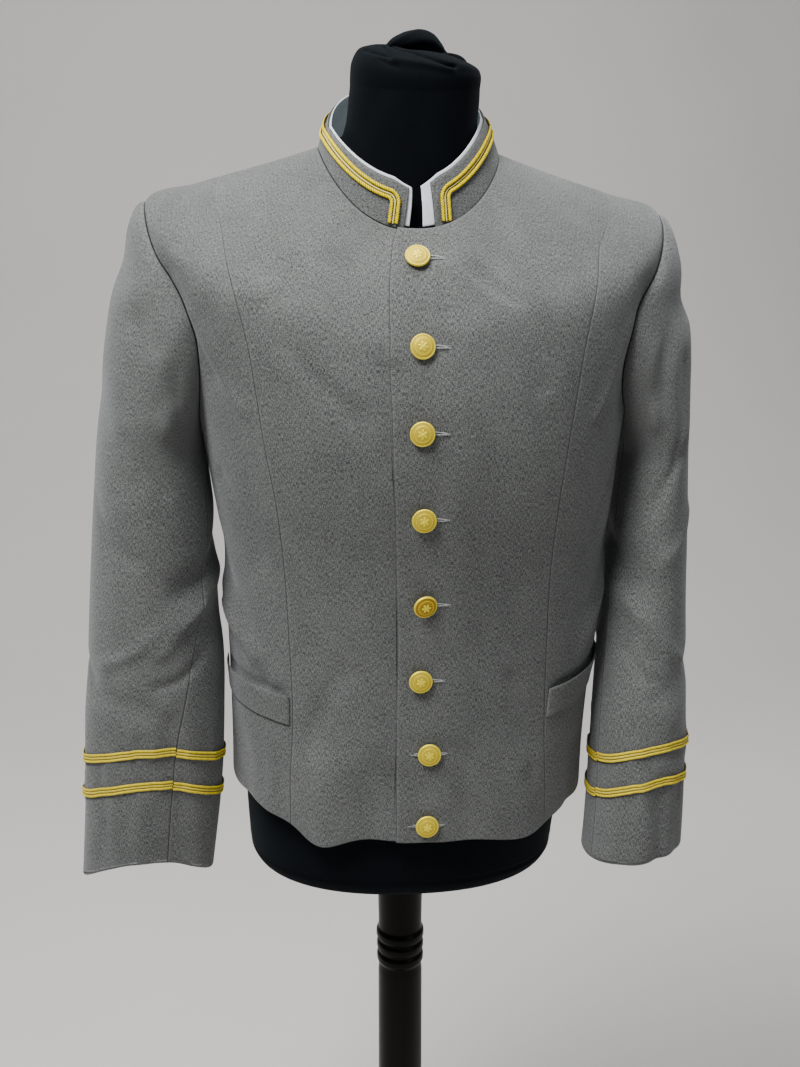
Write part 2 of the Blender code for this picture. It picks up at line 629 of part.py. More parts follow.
def panel_rings(side, whole=True):
    """Return the ring numbers of a panel's points, up to the neck or to its shaped seam's end."""
    top = BODY.seam_top(side)
    rings = sorted([*PANEL_RINGS, *(top - below for below in SEAM_END), top])
    return np.array([ring for ring in rings if whole or ring < top])


def front_angles(side):
    """Return a front's ring numbers and its angles, from the front edge to the shaped seam."""
    top = BODY.seam_top(side)
    s = panel_rings(side)
    seam = np.where(s < top, np.abs(BODY.shaped_seam(side, s)), 90.0)
    seam = seam - BODY.gap_angle(side * seam, s, SEAM_GAP / 2)
    edge_x = read(BODY.rows["edge"], s)
    if side > 0:
        return s, spread(BODY.angle_at_x(edge_x, s), seam, FRONT_COLUMNS)
    underlap = BODY.angle_at_x(UNDERLAP_REACH + edge_x / 2, s)
    return s, spread(-seam, underlap, FRONT_COLUMNS)


def side_edge(s, front):
    """Return the edge angle at the side seam, the armhole and the shoulder seam."""
    edge = np.where((s > UNDERARM) & (s < SHOULDER_TIP), armhole_angle(s, front), 90.0)
    shift = BODY.gap_angle(edge, s, SEAM_GAP / 2)
    return edge - shift if front else edge + shift


def side_angles(side):
    """Return a side front's ring numbers and its angles, from left to right."""
    s = panel_rings(side, whole=False)
    seam = np.abs(BODY.shaped_seam(side, s))
    seam = seam + BODY.gap_angle(side * seam, s, SEAM_GAP / 2)
    edge = side_edge(s, front=True)
    low, high = (seam, edge) if side > 0 else (-edge, -seam)
    return s, spread(low, high, SIDE_COLUMNS)


def back_angles(side):
    """Return a back's ring numbers and its angles, from left to right."""
    s = panel_rings(side)
    edge = side_edge(s, front=False)
    middle = 180 - BODY.gap_angle(np.full(s.shape, 180.0), s, SEAM_GAP / 2)
    low, high = (edge, middle) if side > 0 else (-middle, -edge)
    return s, spread(low, high, BACK_COLUMNS)


def make_body():
    """Add the fronts, the side fronts and the backs."""
    for side, name in SIDE_NAME.items():
        body_panel("front_" + name, *front_angles(side), lifted=side > 0)
        body_panel("side_front_" + name, *side_angles(side))
        body_panel("back_" + name, *back_angles(side))


def sleeve_columns(sleeve, t):
    """Return the top sleeve's and the under sleeve's angles on each ring.

    At the armhole they pass through the same points as the panels' edges, and they are evenly
    spaced between the two seams from the first whole ring down.
    """
    fronts, backs = sleeve.ring_angles[True][::-1], 360 - sleeve.ring_angles[False][::-1]
    seam, hind = sleeve.seam("seam", t), sleeve.seam("hind", t)
    seam_at = int(np.argmin(np.abs(fronts - sleeve.rows["seam"][0])))
    hind_at = int(np.argmin(np.abs(backs - sleeve.rows["hind"][0])))
    top_start = np.concatenate((backs[:hind_at + 1][::-1] - 360, fronts[1:seam_at + 1]))
    under_start = np.concatenate((fronts[seam_at:], backs[hind_at:-1][::-1]))
    share = np.clip(t / SEAM_EVEN_FROM, 0, 1)
    share = (share * share * (3 - 2 * share))[:, None]
    top = top_start * (1 - share) + spread(hind - 360, seam, len(top_start)) * share
    under = under_start * (1 - share) + spread(seam, hind, len(under_start)) * share
    for angles in (top, under):
        angles[:, 0] += sleeve.gap_angle(angles[:, 0], t, SEAM_GAP / 2)
        angles[:, -1] -= sleeve.gap_angle(angles[:, -1], t, SEAM_GAP / 2)
    return top, under


def make_sleeves():
    """Add the top sleeve and the under sleeve of both sleeves."""
    t = np.array(SLEEVE_RINGS)
    for side, sleeve in SLEEVES.items():
        for part, phi in zip(("top", "under"), sleeve_columns(sleeve, t)):
            rings = np.repeat(t[:, None], phi.shape[1], axis=1)
            name = part + "_sleeve_" + SIDE_NAME[side]
            shell = shell_mesh(name, sleeve.points(phi, rings), sleeve.points(phi, rings, -WALL))
            add_object(name, shell, "wool", LEAN)


def collar_columns():
    """Return the angles of the panels' points along the neckline, once round from the front."""
    left, back_left, back_right, right = (angles[1][-1] for angles in (
        front_angles(1), back_angles(1), back_angles(-1), front_angles(-1)))
    round_it = np.concatenate((left, back_left, back_right + 360, right + 360))
    low = collar_end(COLLAR_END_LEFT + COLLAR_END_SPREAD, False)
    high = collar_end(COLLAR_END_RIGHT - COLLAR_END_SPREAD, False) + 360
    kept = round_it[(round_it > low + COLLAR_END_CLEAR) & (round_it < high - COLLAR_END_CLEAR)]
    kept = kept[np.concatenate(([True], np.diff(kept) > 1))]
    return np.concatenate(([low], kept, [high]))


def collar_grid(rows, past_left=0.0, past_right=0.0):
    """Return angles and heights of the collar's points, with the ends set by their x."""
    theta = np.repeat(collar_columns()[None, :], len(rows), axis=0)
    top_left = collar_end(COLLAR_END_LEFT)
    top_right = collar_end(COLLAR_END_RIGHT) + 360
    rows = np.array(rows)
    share = np.clip(rows, 0, 1)
    theta[:, 0] += (top_left - theta[:, 0]) * share - past_left
    theta[:, -1] += (top_right - theta[:, -1]) * share + past_right
    return theta, np.repeat(rows[:, None], theta.shape[1], axis=1)


def make_collar():
    """Add the stand collar and the liner inside it."""
    theta, v = collar_grid((0.0, 0.5, 1.0))
    outer, inner = collar_points(theta, v), collar_points(theta, v, -WALL)
    add_object("collar", shell_mesh("collar", outer, inner), "wool", LEAN)
    scale = math.degrees(1) / COLLAR_TOP["half"]
    theta, v = collar_grid((LINER_FOOT, 0.5, 1 + LINER_RISE / COLLAR_HEIGHT),
                           LINER_PAST_LEFT * scale, LINER_PAST_RIGHT * scale)
    depth = WALL + LAY_GAP
    outer = collar_points(theta, v, -depth)
    inner = collar_points(theta, v, -depth - LINER_WALL)
    add_object("collar_liner", shell_mesh("collar_liner", outer, inner), "liner", LEAN)


def braid_section(width):
    """Return a braid's cross-section as pairs of offset across and height above the cloth."""
    half = width / 2
    shoulder = BRAID_SHOULDER * BRAID_HEIGHT
    return (-half, 0), (-half, shoulder), (0, BRAID_HEIGHT), (half, shoulder), (half, 0)


def collar_route():
    """Return the braid's middle line on the collar as angles and heights."""
    scale = math.degrees(1) / COLLAR_TOP["half"]
    level = 1 - BRAID_BELOW_EDGE / COLLAR_HEIGHT

    def left(height):
        foot = collar_end(COLLAR_END_LEFT + COLLAR_END_SPREAD + BRAID_FROM_END, False)
        return foot + (collar_end(COLLAR_END_LEFT + BRAID_FROM_END) - foot) * height

    def right(height):
        foot = collar_end(COLLAR_END_RIGHT - COLLAR_END_SPREAD - BRAID_FROM_END, False)
        return 360 + foot + (collar_end(COLLAR_END_RIGHT - BRAID_FROM_END) - foot) * height

    turn = np.linspace(0, math.pi / 2, 4)
    wide, tall = BRAID_CORNER * scale, BRAID_CORNER / COLLAR_HEIGHT
    corner = np.stack([wide * (1 - np.cos(turn)), tall * (np.sin(turn) - 1)], axis=-1)
    columns = collar_columns()
    level_run = columns[(columns > left(level) + wide + 1) & (columns < right(level) - wide - 1)]
    route = [(left(BRAID_FOOT), BRAID_FOOT),
             *[(left(level + b) + a, level + b) for a, b in corner],
             *[(a, level) for a in level_run],
             *[(right(level + b) - a, level + b) for a, b in corner[::-1]],
             (right(BRAID_FOOT), BRAID_FOOT)]
    return np.array(route)


def swept(middle, normal, section):
    """Return sections along a line, each across the line in the cloth's own plane."""
    along = unit(np.gradient(middle, axis=0))
    across = unit(np.cross(along, normal))
    return [np.array([point + side * a + up * b for a, b in section])
            for point, side, up in zip(middle, across, normal)]


def make_braids():
    """Add the collar braid and two braid rings on each cuff."""
    theta, v = collar_route().T
    middle = collar_points(theta, v, BRAID_LAY_GAP)
    normal = unit(collar_points(theta, v, 1.0) - collar_points(theta, v, 0.0))
    sections = swept(middle, normal, braid_section(BRAID_WIDTH))
    add_object("collar_braid", tube_mesh("collar_braid", sections), "braid", LEAN)
    for side, sleeve in SLEEVES.items():
        for place, row in CUFF_BRAID_ROWS.items():
            t = row + Sleeve.HEAD_END
            top, under = (angles[0] for angles in sleeve_columns(sleeve, np.array([t])))
            phi = np.concatenate((under, top[1:] + 360))
            phi[0] += CUFF_BRAID_PART
            phi[-1] -= CUFF_BRAID_PART
            rings = np.full(phi.shape, t)
            middle = sleeve.points(phi, rings, CUFF_BRAID_LAY_GAP)
            sections = swept(middle, sleeve.normal(phi, rings), braid_section(CUFF_BRAID_WIDTH))
            name = "cuff_braid_" + SIDE_NAME[side] + "_" + place
            add_object(name, tube_mesh(name, sections), "braid", LEAN)


def ring_at_height(theta, z):
    """Return the ring number at which the body surface passes a height at an angle."""
    s = np.linspace(0, NECK, SAMPLES)
    found = [np.interp(height, BODY.plain(np.full(s.shape, angle), s)[:, 2], s)
             for angle, height in zip(theta.ravel(), z.ravel())]
    return np.array(found).reshape(theta.shape)


def make_welts():
    """Add a slanted pocket welt on each side front."""
    for side in (-1, 1):
        s, theta = side_angles(side)
        turn = np.sort(np.abs(theta[np.argmin(np.abs(s - WELT_RING))]))
        turn[0] += WELT_INSET
        turn[-1] -= WELT_INSET
        front_z, side_z = WELT_TOP[side]
        top = front_z + (side_z - front_z) * (turn - turn[0]) / (turn[-1] - turn[0])
        z = top[None, :] - WELT_HEIGHT * np.array([1.0, 0.5, 0.0])[:, None]
        theta = side * np.repeat(turn[None, :], 3, axis=0)
        rings = ring_at_height(theta, z)
        outer = BODY.points(theta, rings, WELT_LAY_GAP + WELT_WALL)
        inner = BODY.points(theta, rings, WELT_LAY_GAP)
        name = "pocket_welt_" + SIDE_NAME[side]
        add_object(name, shell_mesh(name, outer, inner), "wool", LEAN)


def turned_mesh(name, profile):
    """Return a solid of revolution from a profile that runs top to bottom."""
    line = bmesh.new()
    points = [line.verts.new((radius * MM, 0, height * MM)) for radius, height in profile]
    for upper, lower in zip(points, points[1:]):
        line.edges.new((upper, lower))
    data = bpy.data.meshes.new(name)
    line.to_mesh(data)
    line.free()
    return data


def add_turned(name, profile, steps, finish, parent=None):
    """Add a turned piece as a profile with a Screw modifier."""
    thing = add_object(name, turned_mesh(name, profile), finish)
    screw = thing.modifiers.new("turn", "SCREW")
    screw.axis = "Z"
    screw.steps = steps
    screw.render_steps = steps
    screw.use_merge_vertices = True
    screw.merge_threshold = 0.00001
    screw.use_smooth_shade = True
    thing.parent = parent
    return thing


def make_buttons():
    """Add the column of shank buttons on the overlap."""
    for number, (x, z) in enumerate(zip(BUTTON_X, BUTTON_Z), start=1):
        s_all = np.linspace(0, NECK, SAMPLES)
        theta_all = BODY.angle_at_x(np.full(s_all.shape, float(x)), s_all)
        s = float(np.interp(z, BODY.plain(theta_all, s_all)[:, 2], s_all))
        theta = float(BODY.angle_at_x(float(x), s))
        base = BODY.points(theta, s, OVERLAP_LIFT + BUTTON_LAY_GAP)
        near = [BODY.points(theta + a, s + b) for a, b in ((-3, 0), (3, 0), (0, -0.15), (0, 0.15))]
        facing = unit(np.cross(near[1] - near[0], near[3] - near[2]))
        button = add_turned("button_%d" % number, BUTTON_PROFILE, BUTTON_STEPS, "button", LEAN)
        button.location = tuple((base - np.array([0, 0, LEAN_HEIGHT])) * MM)
        pitch = math.acos(float(facing[2]))
        yaw = math.atan2(float(facing[1]), float(facing[0]))
        button.rotation_euler = (0, pitch, yaw)


def lofted(name, rows, columns, finish):
    """Add a solid through rings of a table, closed at both ends."""
    values = table(FORM_NAMES, rows)
    theta = np.linspace(0, 360, columns, endpoint=False)
    sections = []
    for i in range(len(rows)):
        sections.append(ring({key: column[i] for key, column in values.items()}, theta))
    return add_object(name, tube_mesh(name, sections), finish, LEAN)


def make_form():
    """Add the dress form's torso, its neck cover with the knot, the pole and the base."""
    lofted("form_torso", FORM_ROWS, FORM_COLUMNS, "jersey")
    lofted("neck_cover", CAP_ROWS, CAP_COLUMNS, "jersey")
    lofted("neck_knot", KNOT_ROWS, KNOT_COLUMNS, "jersey")
    add_turned("pole", POLE_PROFILE, POLE_STEPS, "lacquer")
    add_turned("base", BASE_PROFILE, BASE_STEPS, "lacquer")


for old in list(bpy.data.objects):
    bpy.data.objects.remove(old, do_unlink=True)
PARTS = bpy.data.collections.new("uniform_jacket")
bpy.context.scene.collection.children.link(PARTS)
LEAN = bpy.data.objects.new("lean", None)
PARTS.objects.link(LEAN)
LEAN.location = (0, 0, LEAN_HEIGHT * MM)
LEAN.rotation_euler = (0, math.radians(LEAN_DEGREES), 0)

make_body()
make_sleeves()
make_collar()
make_braids()
make_welts()
make_buttons()
make_form()
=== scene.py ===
"""Looks of a stand-collar uniform jacket, buttoned over a limbless dress form on a turned pole.

Sizes and tables are in millimetres and MM turns them into metres. The front faces -Y and the
wearer's left is +X. The body surface is a stack of rings from the hem (ring 0) to the neckline
(ring 13); theta runs round from the front centre (0) past the wearer's left side (90) to the
centre back (180). The sleeve surface runs from the armhole edge (t = 0) through the sleeve head
to the cuff; phi is 0 on the outer side, 90 in front, 180 towards the body and 270 behind.
"""

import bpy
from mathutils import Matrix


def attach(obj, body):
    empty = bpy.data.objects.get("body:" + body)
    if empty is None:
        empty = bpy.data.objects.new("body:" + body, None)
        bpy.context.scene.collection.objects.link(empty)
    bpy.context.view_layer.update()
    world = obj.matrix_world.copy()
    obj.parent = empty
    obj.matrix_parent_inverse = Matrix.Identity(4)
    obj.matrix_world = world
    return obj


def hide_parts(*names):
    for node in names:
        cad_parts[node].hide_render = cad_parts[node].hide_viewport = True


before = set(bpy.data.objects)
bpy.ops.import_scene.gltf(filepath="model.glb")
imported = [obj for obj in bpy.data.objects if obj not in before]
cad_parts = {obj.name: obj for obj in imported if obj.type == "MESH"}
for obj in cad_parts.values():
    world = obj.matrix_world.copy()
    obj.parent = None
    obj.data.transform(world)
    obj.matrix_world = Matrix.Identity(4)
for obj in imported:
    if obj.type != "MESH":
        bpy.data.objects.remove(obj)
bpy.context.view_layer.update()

import logging
import math
from dataclasses import dataclass, field
from enum import Enum
from typing import Any, Callable, Iterable, Sequence

import bpy
import numpy as np

Array = np.ndarray
Colour = tuple[float, float, float]
LOG = logging.getLogger("jacket")

MM = 0.001
WALL = 2.0                 # cloth wall
SEAM_GAP = -0.3            # two pieces that are sewn together overlap a little at their seam
CREASE_DEPTH = 1.7         # the small creases stand this many times their tables' depth
LEAN_DEGREES = 1.2         # the form leans towards the wearer's left
LEAN_HEIGHT = 775.0
SQUARE = 0.87              # exponent that squares the body rings a little
SLEEVE_SQUARE = 0.94
UNDERARM, SHOULDER_TIP, NECK = 6, 9, 13      # ring numbers; the hem is ring 0
CUFF = 9                   # ring number of the sleeve's end
HEM_RING, NECK_RING, CUFF_RING = 67.0, 18.0, 43.0    # how wide the rings at these edges are
SAMPLES = 481              # points of the fine lines that places are read from
FULL_TURN = 2 * math.pi

FORM_NAMES = "mid half front back side z_front z_left z_right z_back fall"
BODY_NAMES = FORM_NAMES + " edge seam_left seam_right"
BODY_ROWS = (
    (5, 184, -133, 118, -4, 838, 850, 864, 838, 2.0, -18, 134, -120),
    (5, 184, -131, 116, -4, 905, 908, 912, 903, 2.0, -19, 131, -119),
    (6, 186, -128, 108, -4, 972, 972, 975, 970, 2.0, -20, 128, -118),
    (8, 190, -127, 97, -5, 1040, 1038, 1040, 1038, 2.0, -20, 126, -121),
    (7, 192, -131, 98, -5, 1110, 1109, 1110, 1110, 2.0, -23, 125, -125),
    (4, 199, -138, 106, -6, 1172, 1174, 1176, 1178, 1.8, -26, 128, -132),
    (1, 206, -141, 112, -6, 1222, 1234, 1237, 1240, 1.6, -29, 133, -142),
    (-2, 217, -139, 116, -4, 1264, 1298, 1301, 1305, 1.4, -31, 139, -149),
    (-5, 235, -133, 116, 0, 1302, 1365, 1369, 1368, 1.3, -33, 145, -156),
    (-7, 243, -125, 111, 5, 1336, 1431, 1435, 1418, 1.25, -33, 154, -167),
    (-7, 196, -114, 102, 7, 1362, 1449, 1452, 1446, 1.25, -33, 163, -178),
    (-7, 152, -99, 92, 8, 1386, 1462, 1465, 1468, 1.3, -31, 172, -186),
    (-7, 114, -84, 80, 7, 1404, 1474, 1476, 1486, 1.4, -28, 180, -187),
    (-7, 84, -72, 66, 4, 1417, 1484, 1485, 1500, 1.6, -23, 184, -190),
)
HEM_DIPS = ((-28, 9, 13.0), (31, 14, 11.0), (152, 16, 7.0), (-150, 15, 6.0))   # angle spread drop
HEM_DIP_RINGS = 1.2
SHOULDER_SEAM_X = {1: 182.0, -1: -187.0}        # where the shaped seams meet the shoulder seams
ARMHOLE_FRONT, ARMHOLE_BACK = (31.0, 7.9), (28.0, 8.0)      # swing in degrees, widest ring
ARMHOLE_POWER = 1.5

SLEEVE_NAMES = "z mid half_x mid_y half_y rise_front rise_back roll seam hind"
SLEEVE_ROWS = {
    -1: (
        (1200, -252.5, 52.5, 0, 78, 0, 0, 0, 160, 246),
        (1130, -251.5, 59.5, -7, 72, 2, -2, 0, 154, 247),
        (1060, -253.5, 62.5, -15, 65, 5, -4, 0, 139, 248),
        (1000, -252.5, 67, -25, 58, 7, -6, 0, 124, 249),
        (944, -254.5, 69, -36, 51, 11, -8, 0, 115, 250),
        (899, -256, 69, -43, 46, 19, -9, 0, 110, 250),
        (856, -258, 68, -49, 42, 22, -10, 0, 108, 250),
        (815, -261.5, 67, -54, 39, 23, -10, -1, 108, 250),
        (774, -265.5, 66, -57, 37, 26, -10, -2, 109, 250),
    ),
    1: (
        (1200, 244.5, 33, 0, 74, 0, 0, 0, 166, 246),
        (1130, 244, 37.5, -9, 69, 2, -2, 0, 166, 247),
        (1060, 242.5, 40.5, -23, 63, 3, -4, 0, 165, 248),
        (1000, 241, 44, -37, 58, 4, -6, 1, 164, 249),
        (946, 239.5, 46.5, -49, 55, 8, -7, 5, 162, 250),
        (904, 239, 48, -56, 53, 14, -8, 11, 160, 250),
        (861, 238.5, 49, -62, 52, 16, -9, 11, 158, 250),
        (824, 238, 50, -66, 51, 12, -10, 10, 158, 250),
        (794, 237.5, 51, -68, 50, 2, -14, 8, 158, 250),
    ),
}
SLEEVE_HEAD = {-1: (27.0, 0.42), 1: (31.0, 0.36)}    # reach of the head, share of the drop below
HEAD_FRONT, HEAD_DROP = 13.0, (5.0, 17.0)
CUFF_RINGS = {"upper": 6.0, "lower": 6.86}           # sleeve rings of the two cuff braids

# Ridges (+) and troughs (-): angle and height of each end, width, depth, sideways bow.
BODY_FOLDS = (
    (-88, 1066, -56, 1016, 15, 4.0, 0), (-84, 1108, -62, 1045, 17, -3.0, 0),
    (-62, 1372, -57, 1290, 16, -4.0, 0), (-30, 905, -28, 820, 26, 6.0, 0),
    (-11, 900, -13, 820, 20, -3.5, 0), (-68, 905, -64, 838, 22, -3.0, 0),
    (24, 1398, 6, 1350, 15, -1.8, 0), (-22, 1396, -7, 1345, 14, -1.8, 0),
    (61, 1362, 66, 1262, 18, -4.0, 0), (80, 1090, 58, 1034, 16, 2.5, 0),
    (80, 1130, 60, 1072, 18, -2.6, 0), (31, 905, 34, 820, 24, 4.0, 0),
    (58, 905, 60, 820, 20, -3.0, 0), (150, 1010, 148, 835, 26, 5.0, 0),
    (-152, 1000, -150, 835, 24, 5.0, 0), (180, 1000, 180, 840, 18, -3.0, 0),
    (128, 1120, 158, 1062, 18, -3.5, 0), (-126, 1130, -156, 1068, 18, -3.5, 0),
    (122, 1180, 146, 1128, 16, 3.0, 0), (-122, 1176, -144, 1120, 16, 3.0, 0),
    (118, 1372, 124, 1280, 18, -3.5, 0), (-118, 1372, -124, 1280, 18, -3.5, 0),
)
BODY_CREASES = (
    (-82, 1052, -60, 1004, 6, 1.5, 4), (-74, 1026, -52, 988, 7, -1.4, 5),
    (-66, 1190, -50, 1118, 9, -1.2, 6), (-30, 1352, -14, 1262, 11, -1.1, -5),
    (-14, 1382, -5, 1312, 8, 0.9, 3), (17, 1376, 26, 1288, 11, -1.1, 5),
    (9, 1390, 20, 1352, 7, 0.9, -3), (-58, 1342, -47, 1262, 9, 1.2, -6),
    (56, 1338, 48, 1258, 9, 1.2, 6), (74, 1070, 54, 1012, 7, 1.2, -4),
    (72, 1206, 54, 1140, 10, -1.1, -5), (24, 1002, 34, 902, 12, -1.2, 5),
    (-22, 1010, -33, 905, 13, -1.2, -6), (9, 930, 12, 846, 12, -1.0, 2),
    (-48, 930, -50, 850, 12, 1.0, 3), (170, 1390, 140, 1340, 12, -1.4, 6),
    (-168, 1392, -140, 1344, 12, -1.4, -6), (164, 1300, 130, 1232, 14, -1.3, 8),
    (-160, 1296, -130, 1236, 14, -1.3, -8), (168, 1086, 134, 1040, 10, 1.4, -6),
    (-170, 1092, -136, 1050, 10, 1.4, 6), (138, 1012, 140, 880, 12, -1.5, 3),
    (-136, 1006, -141, 880, 12, -1.5, -3),
)
SLEEVE_FOLDS = {
    -1: (
        (-40, 1392, 40, 1384, 20, -6.0, 0), (60, 1335, 100, 1265, 15, -4.5, 0),
        (20, 1262, 75, 1188, 18, -3.0, 0), (190, 1120, 120, 1078, 14, -4.0, 0),
        (180, 1082, 112, 1048, 12, 3.5, 0), (-100, 1120, -40, 1068, 15, -4.0, 0),
        (200, 1040, 262, 1082, 14, -3.5, 0), (20, 985, 80, 962, 15, -2.5, 0),
        (104, 945, 120, 800, 12, -3.0, 0), (60, 905, 66, 790, 16, 2.5, 0),
    ),
    1: (
        (-30, 1372, 40, 1356, 22, -5.0, 0), (58, 1352, 96, 1270, 14, -5.0, 0),
        (28, 1330, 62, 1230, 13, 3.0, 0), (186, 1120, 118, 1084, 14, -4.0, 0),
        (170, 1076, 110, 1050, 12, 2.5, 0), (-100, 1112, -38, 1070, 15, -4.0, 0),
        (200, 1040, 262, 1082, 14, -3.5, 0), (24, 1000, 84, 972, 15, -2.5, 0),
        (98, 880, 98, 790, 11, 3.0, 0), (76, 880, 74, 790, 10, -3.0, 0),
    ),
}
SLEEVE_CREASES = {
    -1: (
        (84, 1300, 112, 1236, 7, 1.6, 4), (70, 1226, 106, 1176, 8, -1.6, 5),
        (30, 1160, 78, 1112, 9, -1.3, -6), (96, 1040, 48, 1004, 7, 1.4, 5),
        (142, 1060, 98, 1018, 6, 1.6, -4), (134, 1012, 96, 984, 6, -1.6, 4),
        (-30, 1010, 26, 984, 9, -1.2, 5), (208, 1150, 252, 1196, 10, -1.8, 5),
        (214, 1010, 258, 1040, 8, 1.6, -4), (-70, 1000, -20, 966, 9, -1.4, 5),
        (-60, 1240, -96, 1180, 10, -1.5, 5), (46, 890, 52, 806, 9, -1.2, 3),
        (84, 872, 88, 800, 8, 1.2, -3),
    ),
    1: (
        (80, 1318, 108, 1240, 7, 1.8, 5), (50, 1300, 84, 1206, 8, -1.8, -5),
        (66, 1212, 110, 1160, 8, -1.5, 4), (40, 1150, 92, 1104, 9, 1.2, -5),
        (100, 1046, 52, 1006, 7, 1.4, 5), (146, 1070, 102, 1026, 6, 1.4, -4),
        (128, 1016, 92, 986, 6, -1.6, 4), (-34, 1016, 22, 990, 9, -1.2, 5),
        (208, 1150, 252, 1196, 10, -1.8, 5), (214, 1010, 258, 1040, 8, 1.6, -4),
        (-70, 1000, -20, 966, 9, -1.4, 5), (-58, 1236, -96, 1180, 10, -1.5, 5),
        (48, 880, 44, 806, 9, -1.2, 3), (92, 872, 90, 806, 8, 1.2, -3),
    ),
}
BODY_RADIUS, SLEEVE_RADIUS = 165.0, 62.0     # turn an angle into a length for the folds
FOLDS_END_NECK = (0.6, 2.1)
FOLDS_START_ARMHOLE = (0.04, 0.44)
SEAM_END_REACH, SEAM_END_ROWS = 0.34, 14     # the shaped seams turn quickly near their ends
ROW_APART = 0.0015           # least distance between two rows of points, in rings
EDGE_STEPS = np.array([0.0, 0.35, 0.9, 1.7, 2.8])      # distances of an edge's columns from it
EDGE_FAR = 20.0              # what the cloth's grain says of places far from an edge

OVERLAP_LIFT, OVERLAP_FADE, UNDERLAP_REACH = 3.0, (28.0, 70.0), 30.0
COLLAR_TOP = {"mid": -9.7, "half": 72.3, "front": -64.3, "back": 60.9, "side": 1.5,
              "z_front": 1458.5, "z_left": 1516.7, "z_right": 1504.9, "z_back": 1542.9,
              "fall": 1.7, "fall_back": 0.8, "square": 1.0}
COLLAR_BULGE, COLLAR_FOOT_GAP, COLLAR_HEIGHT = 0.8, 1.3, 37.0
COLLAR_DIP = (3.0, 16.0, 8.0)      # angle, spread and depth of the drop between its two ends
COLLAR_END_LEFT, COLLAR_END_RIGHT, COLLAR_END_SPREAD = 6.5, -12.0, 4.5
LINER_WALL, LINER_RISE, LINER_FOOT, LINER_LAY_GAP = 1.2, 2.4, 0.06, 0.3
LINER_PAST_LEFT, LINER_PAST_RIGHT = 8.0, 3.0
BRAID_BELOW_EDGE, BRAID_FROM_END, BRAID_CORNER, BRAID_FOOT = 12.8, 10.6, 5.5, 0.04

WELT_HEIGHT, WELT_INSET = 30.0, 1.0
WELT_TOP = {-1: (982.0, 991.0), 1: (985.0, 1004.0)}      # z at the shaped seam, z at the side

BUTTON_X = (-7, -4.5, -4, 0, 3.5, 2, 12, 11.5)
BUTTON_Z = (1393, 1321, 1247, 1168, 1084, 1007, 932, 857)
BUTTON_RADIUS, BUTTON_LAY_GAP = 11.25, 0.5

FORM_ROWS = (
    (0, 128, -92, 82, -6, 762, 762, 762, 762, 2.0),
    (0, 148, -109, 97, -6, 764.5, 764.5, 764.5, 764.5, 2.0),
    (0, 159, -117, 105, -6, 776, 776, 776, 776, 2.0),
    (0, 163, -119, 108, -6, 805, 805, 805, 805, 2.0),
    (2, 168, -118, 105, -6, 880, 880, 880, 880, 2.0),
    (3, 166, -113, 94, -6, 970, 970, 970, 970, 2.0),
    (3, 160, -107, 84, -6, 1045, 1045, 1045, 1045, 2.0),
    (2, 167, -117, 87, -6, 1120, 1122, 1122, 1122, 2.0),
    (0, 180, -127, 97, -6, 1200, 1206, 1206, 1206, 1.8),
    (-3, 190, -127, 103, -4, 1262, 1290, 1290, 1290, 1.5),
    (-6, 194, -121, 104, 0, 1300, 1360, 1362, 1352, 1.4),
    (-7, 182, -110, 96, 4, 1332, 1418, 1421, 1400, 1.3),
    (-7, 156, -97, 86, 6, 1358, 1452, 1455, 1434, 1.3),
    (-7, 120, -80, 72, 6, 1380, 1467.4, 1468.8, 1458, 1.4),
    (-7, 92, -66, 60, 4, 1398, 1476, 1476.6, 1478, 1.6),
    (-6, 68, -55, 50, 2, 1424, 1488, 1490, 1496, 2.0),
    (-5, 61, -50.5, 46, 0, 1464, 1504, 1505, 1512, 2.0),
    (-3, 60, -50, 45, 0, 1520, 1530, 1531, 1534, 2.0),
    (-2, 59, -50, 46, 0, 1547, 1547, 1551, 1549, 2.0),
)
COVER_ROWS = (
    (-3, 59, -49, 44, 0, 1526, 1534, 1536, 1538, 2),
    (-2.2, 59.8, -50.6, 46.4, 0, 1543, 1545, 1549, 1547, 2),
    (-1.6, 59, -49.5, 46, 0, 1552, 1552, 1561.5, 1556, 2),
    (-0.5, 54, -46, 44, 0, 1560.5, 1558, 1572, 1565, 2),
    (-2, 42, -35, 36, 0, 1567.5, 1564, 1575.5, 1569, 2),
    (-5, 30, -24, 24, 0, 1570.5, 1568, 1576.5, 1571, 2),
    (-5, 14, -10, 10, 0, 1572, 1570, 1576.5, 1571.5, 2),
)
# Folds of the neck cover: width, depth (a trough is positive), then its places x, y, z.
COVER_FOLDS = (
    (2.2, 3.4, ((-27, -10, 1574), (-20, -27, 1570), (-10, -32, 1569), (1, -40, 1565),
                (12, -44, 1561), (22, -45, 1558), (28, -43, 1557))),
    (1.8, 1.5, ((-50, -22, 1570), (-45, -30, 1567), (-39, -35, 1565), (-32, -40, 1564))),
    (2, 1.7, ((-33, -21, 1573), (-31, -34, 1568), (-29, -42, 1562))),
    (2.4, 1, ((-37, -40, 1560), (-30, -44, 1557), (-24, -47, 1555))),
    (1.8, 1.4, ((22, -23, 1568), (32, -21, 1566), (36, -30, 1562))),
    (3.2, -1.3, ((-26, -43, 1561), (-13, -46, 1559), (0, -48, 1558), (14, -48, 1555),
                 (24, -46, 1554))),
    (2.6, 2, ((-24, 12, 1573), (-12, 30, 1570), (6, 40, 1565), (26, 41, 1558))),
    (2.4, 1.4, ((-46, 22, 1567), (-38, 36, 1563), (-26, 43, 1558))),
    (3, -1.2, ((-20, 38, 1566), (0, 45, 1560), (20, 45, 1554))),
)
